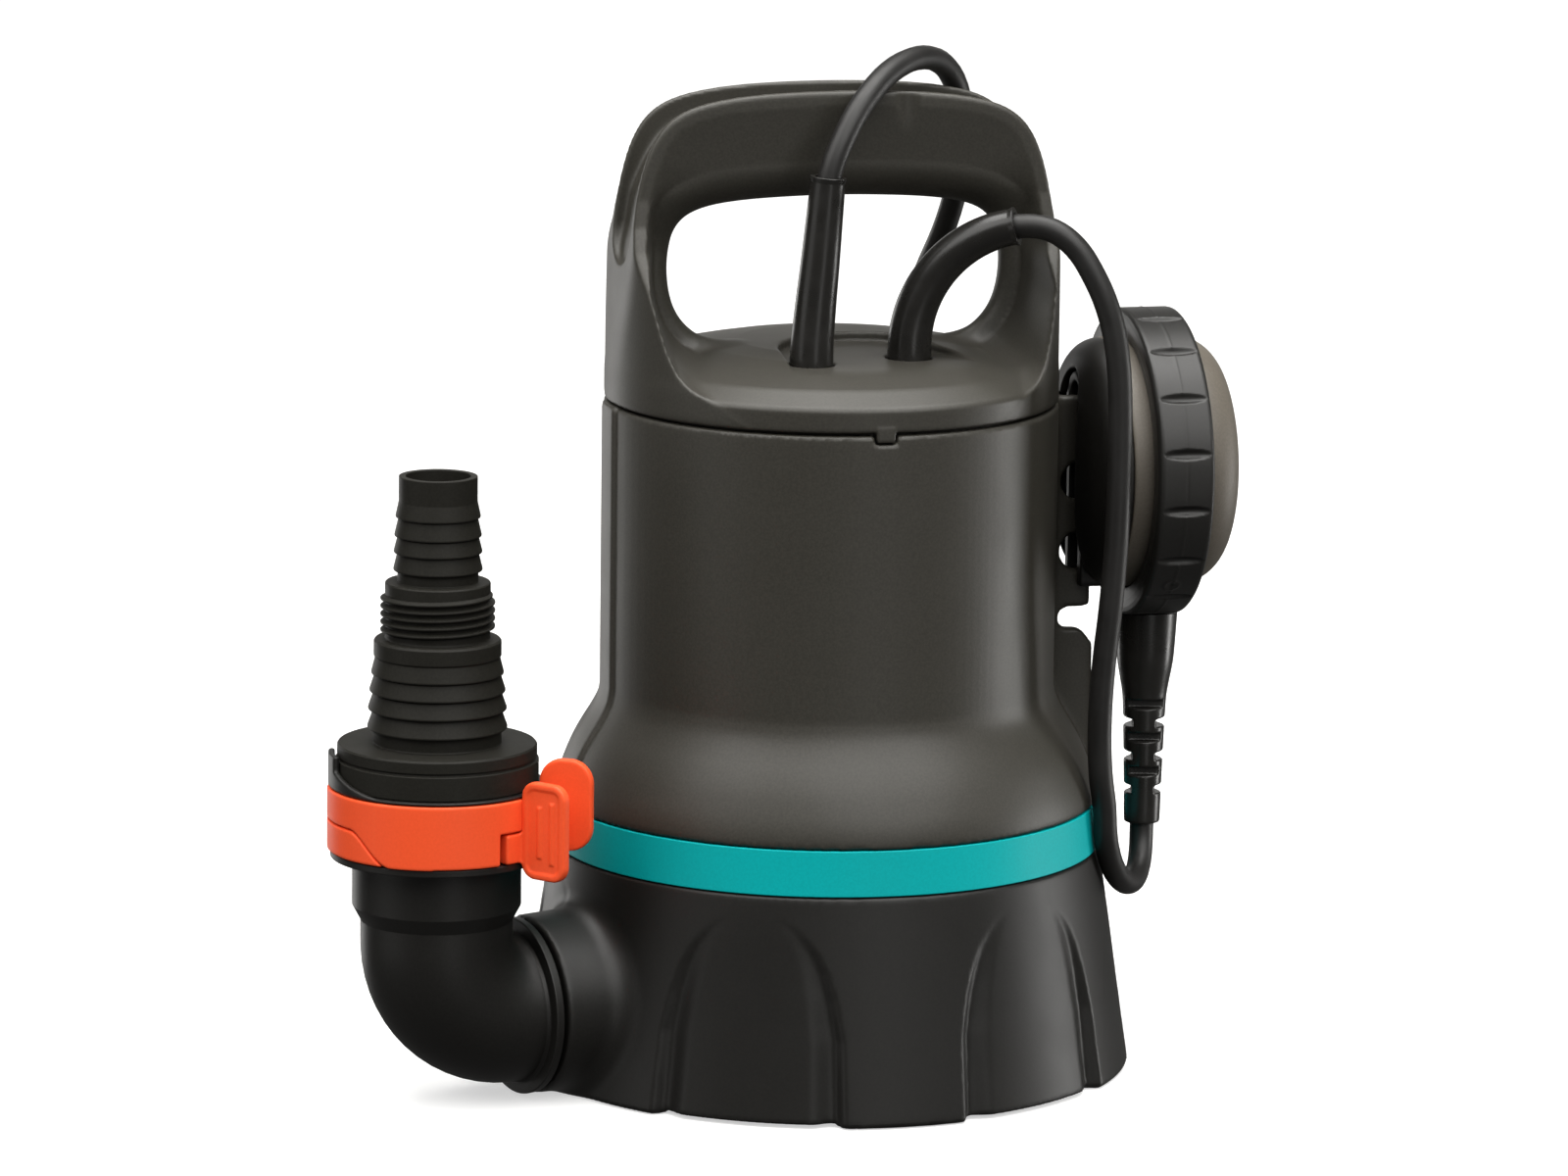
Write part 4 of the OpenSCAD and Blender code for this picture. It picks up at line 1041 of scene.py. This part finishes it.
def boot():
    """Moulded boot with its slotted bend relief."""
    g = Grid((86.8, -13.5, 65.8), (108.8, 8.6, 136), 0.36 * COARSE)
    x, y, z = g.x - 97.8, g.y - FLOAT_Y, g.z
    r = np.sqrt(x * x + y * y)
    prof = [[0, 68.0], [5.2, 68.0], [5.45, 69.0], [5.6, 78], [6.0, 92], [6.45, 104.4], [6.7, 108],
        [7.5, 112.5], [8.5, 118], [8.9, 124], [9.4, 133], [9.6, 137], [0, 137]]
    F = revolve(g, r, soften(prof[1:-1], 2, closed=False).tolist() + [[0, 137], [0, 68]])
    F = smax(F, 68.1 - z, 0.6)
    F = smax(F, 46.1 - np.sqrt((g.y - FLOAT_Y) ** 2 + (z - FLOAT_Z) ** 2) + 0 * x, 0.3)
    ca, sa = math.cos(math.radians(-13.5)), math.sin(math.radians(-13.5))
    u, v = x * ca + y * sa, -x * sa + y * ca
    for w, levels in ((u, (78.75, 89.0, 99.3)), (v, (84.5, 95.0, 105.2))):
        for zz in levels:
            cut = np.abs(z - zz) - 1.1 - 0.09 * np.maximum(np.abs(w) - 3.0, 0)
            F = smax(F, -smax(cut, 3.4 - np.abs(w), 0.5), 0.5)
    # hole of the lead
    F = smax(F, -np.maximum(r - 3.75, z - 71.5), 0.3)
    return moulded("boot", g, F, 0.0)


boot_obj = boot()

# ---------------------------------------------------------------- plug and strap
PC = (42.0, 241.0, 55.4)
plug_run = straight(PC, (1, 0, 0), (0, 0, 1))


def plug_grip(th, s, R):
    band_w = ramp(s, -15.5, -13) * ramp(-s, -1.5, 2.5)
    return R + 0 * th - 0.75 * band_w * (0.5 - 0.5 * np.cos(th * 14)) ** 2


plug_body = turned(
    "plug_body",
    [(0, -27.2), (13.5, -27.2), (14.2, -29), (17.2, -29), (18.4, -27.6), (18.4, -16.0),
     (17.6, -13.2), (15.4, -8.5), (12.6, -3.6), (8.9, 0.6), (7.2, 3.4), (6.6, 7.0),
     (5.0, 10.5), (0, 10.5)],
    r=1.1, seg=168, run=plug_run, step=1.2, rad=plug_grip,
)
pins = []
for py in (-9.5, 9.5):
    run_p = straight((PC[0], PC[1] + py, PC[2]), (-1, 0, 0), (0, 0, 1))
    pins.append(turned("pin", [(0, 26), (2.35, 26), (2.35, 47), (1.5, 48.2), (0, 48.2)],
                       r=0.6, seg=32, run=run_p))
plug_pins = join(pins, "plug_pins")
collars = []
for py in (-9.5, 9.5):
    run_p = straight((PC[0], PC[1] + py, PC[2]), (-1, 0, 0), (0, 0, 1))
    collars.append(turned("pin_sleeve", [(2.2, 27), (3.3, 27), (3.1, 29.5), (2.42, 30.0),
        (2.42, 37.5), (2.2, 37.5)], r=0.15, seg=32, run=run_p))
plug_body = join([plug_body] + collars, "plug_body")


def strap():
    """Band round the windings of the coil, its end lapped over on top."""
    a = math.radians(165)
    er, et = np.array([math.cos(a), math.sin(a), 0]), np.array([-math.sin(a), math.cos(a), 0])
    c = np.array([COIL_C[0], COIL_C[1], 0])
    # outline of the band in the plane (radius, z)
    core = [(45.6, 4.2), (49.6, 0.62), (78.4, 0.62), (82.4, 4.2), (82.4, 33.4), (78.4, 37.2),
            (49.6, 37.2), (45.6, 33.4)]
    P = soften(core, 3)
    loop = np.concatenate([P, P[:1]])
    S = np.concatenate([[0], np.cumsum(np.linalg.norm(np.diff(loop, axis=0), axis=1))])
    m = 160
    s = np.linspace(0, S[-1] + 16, m)
    Q = np.stack([np.interp(s % S[-1], S, loop[:, k]) for k in range(2)], 1)
    T = np.gradient(Q, axis=0)
    T /= np.linalg.norm(T, axis=1, keepdims=True)
    Nn = np.stack([T[:, 1], -T[:, 0]], 1)
    mid = loop[:-1].mean(0)
    if ((Q - mid) * Nn).sum() < 0:
        Nn = -Nn
    lift = np.where(s > S[-1] - 1, 0.55 * ramp(s, S[-1] - 1, S[-1] + 3), 0)
    start = np.argmin(np.abs(P[:, 1] - 37.2))
    V, N = [], []
    half_w, th = 6.0, 0.3
    prof = [(-half_w, 0), (half_w, 0), (half_w, th), (-half_w, th)]
    rows = []
    for k, (wv, hv) in enumerate(prof):
        R = Q + Nn * (hv + lift)[:, None] if not np.isscalar(hv + lift) else Q + Nn * (hv + lift)
        rows.append(c + R[:, :1] * er + R[:, 1:] * np.array([0, 0, 1.0]) + wv * et)
    P4 = np.array(rows)
    quads, base = [], 0
    for k in range(4):
        A, B = P4[k], P4[(k + 1) % 4]
        V += [A, B]
        nn = np.cross(np.gradient(A, axis=0), B - A)
        N += [nn, nn]
        i = np.arange(m - 1)
        quads.append(np.stack([base + i, base + i + 1, base + m + i + 1, base + m + i], 1))
        base += 2 * m
    V, N, quads = np.concatenate(V), np.concatenate(N), np.concatenate(quads)
    ends = []
    for e in (0, m - 1):
        V = np.concatenate([V, P4[:, e]])
        d = P4[:, 0 if e == 0 else m - 1].mean(0) - P4[:, 1 if e == 0 else m - 2].mean(0)
        N = np.concatenate([N, np.tile(d, (4, 1))])
        ends.append(base + np.arange(4))
        base += 4
    # sign: the outside of the band looks away from its middle
    centre3 = c + mid[0] * er + np.array([0, 0, mid[1]])
    face = quads[2 * (m - 1) : 3 * (m - 1)]
    nn = np.cross(V[face[:, 1]] - V[face[:, 0]], V[face[:, 3]] - V[face[:, 0]])
    if (nn * (V[face[:, 0]] - centre3)).sum() < 0:
        quads = quads[:, ::-1]
    nn = np.cross(V[quads[:, 1]] - V[quads[:, 0]], V[quads[:, 3]] - V[quads[:, 0]])
    if (nn * N[quads[:, 0]]).sum() < 0:
        N[: 8 * m] *= -1
    e4 = []
    for q4 in ends:
        nn = np.cross(V[q4[1]] - V[q4[0]], V[q4[3]] - V[q4[0]])
        e4.append(q4 if nn @ N[q4[0]] > 0 else q4[::-1])
    return make("strap", V, np.concatenate([quads, np.array(e4)]), None, N)


strap_obj = strap()


# ---------------------------------------------------------------- materials
def lin(c):
    out = []
    for v in c:
        v = v / 255
        out.append(v / 12.92 if v <= 0.04045 else ((v + 0.055) / 1.055) ** 2.4)
    return (*out, 1.0)


class Nodes:
    def __init__(self, name):
        self.mat = bpy.data.materials.new(name)
        self.mat.use_nodes = True
        self.nt = self.mat.node_tree
        self.nt.nodes.clear()
        self.out = self.add("ShaderNodeOutputMaterial")
        self.bsdf = self.add("ShaderNodeBsdfPrincipled")
        self.link(self.bsdf, "BSDF", self.out, "Surface")
        self.tc = self.add("ShaderNodeTexCoord")

    def add(self, kind, **values):
        n = self.nt.nodes.new(kind)
        for k, v in values.items():
            setattr(n, k, v)
        return n

    def link(self, a, out, b, inp):
        self.nt.links.new(a.outputs[out], b.inputs[inp])

    def noise(self, scale, detail=3.0, rough=0.55, stretch=None):
        n = self.add("ShaderNodeTexNoise")
        n.inputs["Scale"].default_value = scale
        n.inputs["Detail"].default_value = detail
        n.inputs["Roughness"].default_value = rough
        if stretch:
            m = self.add("ShaderNodeMapping")
            m.inputs["Scale"].default_value = stretch
            self.link(self.tc, "Object", m, "Vector")
            self.link(m, "Vector", n, "Vector")
        else:
            self.link(self.tc, "Object", n, "Vector")
        return n

    def span(self, source, out, a, b, lo, hi):
        n = self.add("ShaderNodeMapRange")
        n.inputs["From Min"].default_value = a
        n.inputs["From Max"].default_value = b
        n.inputs["To Min"].default_value = lo
        n.inputs["To Max"].default_value = hi
        self.link(source, out, n, "Value")
        return n

    def mix(self, factor, fout, a, b):
        n = self.add("ShaderNodeMix", data_type="RGBA")
        self.link(factor, fout, n, 0)
        for k, v in ((6, a), (7, b)):
            if isinstance(v, tuple):
                n.inputs[k].default_value = v
            else:
                self.nt.links.new(v, n.inputs[k])
        return n


def plastic(name, rgb, rough, grain=0.7, depth=0.02, speck=0.10, vary=0.06, spec=0.5, wear=0.12,
            flow=0.0, sub=0.0, strength=0.5, rub=0.0):
    """Moulded plastic: eroded grain, faint flow marks, edges burnished by handling."""
    m = Nodes(name)
    base = lin(rgb)
    light = tuple(min(1.0, c * (1 + speck) + 0.0004) for c in base[:3]) + (1.0,)
    dark = tuple(c * (1 - speck) for c in base[:3]) + (1.0,)
    edge = tuple(min(1.0, c * 1.3 + 0.006) for c in base[:3]) + (1.0,)
    fine = m.noise(1000 / grain, 2.0, 0.5)
    cloud = m.noise(28, 4.0, 0.6)
    fleck = m.noise(1400, 1.0, 0.5)
    tint = m.mix(m.span(fleck, "Fac", 0.30, 0.70, 0, 1), "Result", dark, light)
    geo = m.add("ShaderNodeNewGeometry")
    worn = m.span(geo, "Pointiness", 0.53, 0.62, 0.0, wear)
    colour = m.mix(worn, "Result", tint.outputs[2], edge)
    m.nt.links.new(colour.outputs[2], m.bsdf.inputs["Base Color"])
    r = m.span(cloud, "Fac", 0.3, 0.7, rough - vary, rough + vary)
    if rub:
        scuff = m.noise(9, 5.0, 0.7, (1, 1, 0.35))
        patch = m.span(scuff, "Fac", 0.52, 0.68, 0.0, rub)
        less = m.add("ShaderNodeMath", operation="SUBTRACT")
        m.link(r, "Result", less, 0)
        m.link(patch, "Result", less, 1)
        m.link(less, "Value", m.bsdf, "Roughness")
    else:
        m.link(r, "Result", m.bsdf, "Roughness")
    m.bsdf.inputs["Specular IOR Level"].default_value = spec
    if sub:
        m.bsdf.inputs["Subsurface Weight"].default_value = sub
        m.bsdf.inputs["Subsurface Scale"].default_value = 0.0012
        m.bsdf.inputs["Subsurface Radius"].default_value = (1.0, 0.5, 0.3)
    bump = m.add("ShaderNodeBump")
    bump.inputs["Strength"].default_value = strength
    bump.inputs["Distance"].default_value = depth * 0.001
    if flow:
        wide = m.noise(55, 3.0, 0.5, (1, 1, 0.18))
        both = m.add("ShaderNodeMath", operation="MULTIPLY_ADD")
        m.link(wide, "Fac", both, 0)
        both.inputs[1].default_value = flow
        m.link(fine, "Fac", both, 2)
        m.link(both, "Value", bump, "Height")
    else:
        m.link(fine, "Fac", bump, "Height")
    m.link(bump, "Normal", m.bsdf, "Normal")
    return m.mat


def rubber(name, rgb, rough, spec=0.4, drag=0.006, dust=0.05):
    """Extruded or moulded rubber: lengthwise drag marks too fine to follow, faint bloom."""
    m = Nodes(name)
    base = lin(rgb)
    bloom = tuple(min(1.0, c * 1.5 + 0.006) for c in base[:3]) + (1.0,)
    cloud = m.noise(70, 5.0, 0.65)
    tint = m.mix(m.span(cloud, "Fac", 0.48, 0.75, 0, dust * 8), "Result", base, bloom)
    m.nt.links.new(tint.outputs[2], m.bsdf.inputs["Base Color"])
    m.link(m.span(cloud, "Fac", 0.3, 0.7, rough - 0.06, rough + 0.07), "Result", m.bsdf, "Roughness")
    m.bsdf.inputs["Specular IOR Level"].default_value = spec
    fine = m.noise(1600, 3.0, 0.6)
    bump = m.add("ShaderNodeBump")
    bump.inputs["Strength"].default_value = 0.5
    bump.inputs["Distance"].default_value = drag * 0.001
    m.link(fine, "Fac", bump, "Height")
    m.link(bump, "Normal", m.bsdf, "Normal")
    return m.mat


def metal(name, rgb, rough, stretch=(1, 1, 30), scale=300, depth=0.006):
    """Drawn or turned metal with fine marks."""
    m = Nodes(name)
    base = lin(rgb)
    dull = tuple(c * 0.72 for c in base[:3]) + (1.0,)
    cloud = m.noise(90, 4.0, 0.6)
    tint = m.mix(m.span(cloud, "Fac", 0.35, 0.75, 0, 1), "Result", base, dull)
    m.nt.links.new(tint.outputs[2], m.bsdf.inputs["Base Color"])
    m.bsdf.inputs["Metallic"].default_value = 1.0
    lines = m.noise(scale, 3.0, 0.6, stretch)
    m.link(m.span(lines, "Fac", 0.3, 0.7, rough - 0.08, rough + 0.08), "Result", m.bsdf, "Roughness")
    bump = m.add("ShaderNodeBump")
    bump.inputs["Strength"].default_value = 0.5
    bump.inputs["Distance"].default_value = depth * 0.001
    m.link(lines, "Fac", bump, "Height")
    m.link(bump, "Normal", m.bsdf, "Normal")
    return m.mat


def winding(name):
    """Varnished copper wire lying in turns."""
    m = Nodes(name)
    wave = m.add("ShaderNodeTexWave", wave_type="BANDS", bands_direction="Z")
    wave.inputs["Scale"].default_value = 330
    wave.inputs["Distortion"].default_value = 2.2
    m.link(m.tc, "Object", wave, "Vector")
    # painted shade and highlight: the copper is darker in the grooves between turns and lighter on their
    # crests, following the bump height
    tint = m.mix(m.span(wave, "Fac", 0.1, 0.9, 0, 1), "Result", lin((96, 44, 22)), lin((196, 108, 62)))
    m.nt.links.new(tint.outputs[2], m.bsdf.inputs["Base Color"])
    m.bsdf.inputs["Metallic"].default_value = 0.85
    m.link(m.span(wave, "Fac", 0, 1, 0.55, 0.32), "Result", m.bsdf, "Roughness")
    bump = m.add("ShaderNodeBump")
    bump.inputs["Strength"].default_value = 0.8
    bump.inputs["Distance"].default_value = 0.0003
    m.link(wave, "Fac", bump, "Height")
    m.link(bump, "Normal", m.bsdf, "Normal")
    return m.mat


MAT = {
    "anthracite_plastic": plastic("anthracite", (52, 50, 44), 0.47, grain=0.75, depth=0.030,
                                  speck=0.14, vary=0.03, wear=0.25, rub=0.03),
    "black_plastic": plastic("black_moulded", (25, 24, 22), 0.44, grain=0.6, depth=0.018,
                             speck=0.12, vary=0.04, wear=0.25),
    "black_matt": plastic("black_matt", (31, 30, 26), 0.55, grain=0.6, depth=0.018, speck=0.12,
                          vary=0.04, spec=0.17, wear=0.2),
    "black_foot": plastic("black_foot", (22, 21, 19), 0.46, grain=0.7, depth=0.024, speck=0.12,
                          vary=0.03, spec=0.4, wear=0.25, rub=0.03),
    "inner_plastic": plastic("inner_moulded", (48, 48, 50), 0.5, grain=0.9, flow=0.4),
    "teal_plastic": plastic("teal", (0, 170, 172), 0.5, grain=0.6, depth=0.012, speck=0.05,
                            vary=0.04, spec=0.16, wear=0.2),
    "orange_plastic": plastic("orange", (255, 90, 46), 0.48, grain=0.6, depth=0.012, speck=0.04,
                              vary=0.05, spec=0.25, wear=0.15, sub=0.05),
    "taupe_plastic": plastic("taupe", (94, 88, 79), 0.52, grain=0.7, depth=0.022, speck=0.08,
                             vary=0.05, wear=0.2),
    "lead_rubber": rubber("lead", (25, 24, 23), 0.46, spec=0.45),
    "moulded_rubber": rubber("moulded_rubber", (27, 26, 24), 0.28, spec=0.5, drag=0.004),
    "seal_rubber": rubber("seal", (26, 27, 30), 0.5, dust=0.12),
    "white_plastic": plastic("white_moulded", (225, 222, 212), 0.45, grain=1.0, speck=0.03, flow=0.3),
    "steel": metal("steel", (176, 178, 182), 0.3),
    "copper_wire": winding("winding"),
    "aluminium": metal("aluminium", (190, 192, 196), 0.42, stretch=(1, 1, 1), scale=700, depth=0.02),
    "switch_body": plastic("switch_body", (60, 34, 26), 0.4, grain=1.0, flow=0.4),
}
for name, mat in MAT.items():
    mat.diffuse_color = mat.node_tree.nodes["Principled BSDF"].inputs["Base Color"].default_value

slots = {s["node"]: s["material_slot"] for s in frame["record"]["subparts"]}
for name, obj in nodes.items():
    obj.data.materials.clear()
    obj.data.materials.append(MAT[slots[name]])


# ---------------------------------------------------------------- which body, which nodes
def put(obj, body, slot, *stands_for, mat=None):
    obj.data.materials.clear()
    obj.data.materials.append(mat or MAT[slot])
    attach(obj, body)
    if stands_for:
        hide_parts(*stands_for)


put(mains_lead, "pump", "lead_rubber", "power_cord", "power_cord_coil", "power_cord_end")
put(power_sleeve, "pump", "moulded_rubber", "power_bend_sleeve")
put(float_sleeve, "pump", "moulded_rubber", "float_bend_sleeve")
put(foot_obj, "pump", "black_plastic", "pump_base", mat=MAT["black_foot"])
put(band, "pump", "teal_plastic", "decor_ring")
put(housing_obj, "pump", "anthracite_plastic", "motor_housing")
put(cap_obj, "pump", "anthracite_plastic", "handle_cap")
put(elbow_obj, "elbow", "black_plastic", "outlet_elbow", mat=MAT["black_foot"])
put(clip_front_obj, "clip_front", "orange_plastic", "locking_clip_front")
put(clip_rear_obj, "clip_rear", "orange_plastic", "locking_clip_rear")
put(adapter_obj, "adapter", "black_plastic", "hose_adapter", mat=MAT["black_matt"])
put(inner_shell, "float", "taupe_plastic", "float_inner_shell")
put(outer_shell, "float", "taupe_plastic", "float_outer_shell")
put(float_band, "float", "black_plastic", "float_ring")
put(fork_obj, "float", "black_plastic", "float_clip", mat=MAT["black_foot"])
put(boot_obj, "float", "moulded_rubber", "float_boot")
put(plug_body, "pump", "moulded_rubber", "power_plug")
put(plug_pins, "pump", "steel", mat=MAT["steel"])
put(strap_obj, "pump", "moulded_rubber", "cord_tie")
float_lead.data.materials.clear()
float_lead.data.materials.append(MAT["lead_rubber"])
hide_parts("float_cord")
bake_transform(float_lead)

# ---------------------------------------------------------------- floor and light
me = bpy.data.meshes.new("floor")
me.from_pydata([(-20, -20, 0), (20, -20, 0), (20, 20, 0), (-20, 20, 0)], [], [(0, 1, 2, 3)])
floor = bpy.data.objects.new("floor", me)
scene.collection.objects.link(floor)
fm = Nodes("floor")
paper = fm.noise(3, 4.0, 0.6)
shade = fm.mix(fm.span(paper, "Fac", 0.3, 0.7, 0, 1), "Result", (0.60, 0.60, 0.595, 1), (0.62, 0.62, 0.615, 1))
fm.nt.links.new(shade.outputs[2], fm.bsdf.inputs["Base Color"])
fm.bsdf.inputs["Roughness"].default_value = 0.9
fm.bsdf.inputs["Specular IOR Level"].default_value = 0.1
# lit from below like a light table, so that shadows stay faint
fm.bsdf.inputs["Emission Color"].default_value = (1, 1, 1, 1)
fm.bsdf.inputs["Emission Strength"].default_value = 0.55
me.materials.append(fm.mat)
floor.visible_diffuse = False
floor.visible_glossy = False
floor.visible_shadow = False

world = bpy.data.worlds.new("studio")
world.use_nodes = True
bg = world.node_tree.nodes["Background"]
bg.inputs["Color"].default_value = (1.0, 0.985, 0.96, 1)
bg.inputs["Strength"].default_value = 0.11
scene.world = world
scene.view_settings.view_transform = "Standard"
scene.view_settings.look = "None"
scene.view_settings.exposure = 0.0


def from_view(turn, rise, far, up=0.12):
    """Point seen from the pump: turn to the right of the camera, rise above the floor."""
    a = math.radians(-103.5 + turn)
    e = math.radians(rise)
    return (far * math.cos(e) * math.cos(a), far * math.cos(e) * math.sin(a), far * math.sin(e) + up)


def softbox(name, at, size, radiance, to=(0, 0, 0.12), colour=(1, 0.99, 0.97)):
    L = bpy.data.lights.new(name, "AREA")
    L.shape = "RECTANGLE"
    L.size, L.size_y = size
    L.energy = radiance * math.pi * size[0] * size[1]
    L.color = colour
    o = bpy.data.objects.new(name, L)
    o.location = at
    o.rotation_euler = (Vector(to) - Vector(at)).to_track_quat("-Z", "Y").to_euler()
    o.visible_camera = False
    scene.collection.objects.link(o)
    return o


sun = bpy.data.lights.new("key", "SUN")
sun.energy = 2.8
sun.angle = math.radians(64)
sun.color = (1, 0.99, 0.97)
so = bpy.data.objects.new("key", sun)
so.rotation_euler = (-Vector(from_view(31, 50, 1, 0))).to_track_quat("-Z", "Y").to_euler()
scene.collection.objects.link(so)
softbox("top", from_view(0, 93, 1.25), (1.4, 0.8), 6.0)
softbox("strip_right", from_view(101, -5, 1.5), (0.34, 0.75), 9.5)
softbox("front", from_view(22, -7, 1.9), (0.45, 0.5), 1.8)
softbox("left_high", from_view(-58, 44, 1.7), (1.4, 1.1), 3.1)
softbox("left", from_view(-66, -3, 1.8), (1.0, 0.7), 0.9)
softbox("left_back", from_view(-142, -5, 1.7), (0.6, 0.9), 2.6)
softbox("back", from_view(180, 12, 2.2), (1.6, 0.5), 0.8)

# ---------------------------------------------------------------- sizes and end
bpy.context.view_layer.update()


for o in scene.objects:
    if o.type == "MESH" and "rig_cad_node" not in o:
        print("faces", o.name, len(o.data.polygons))
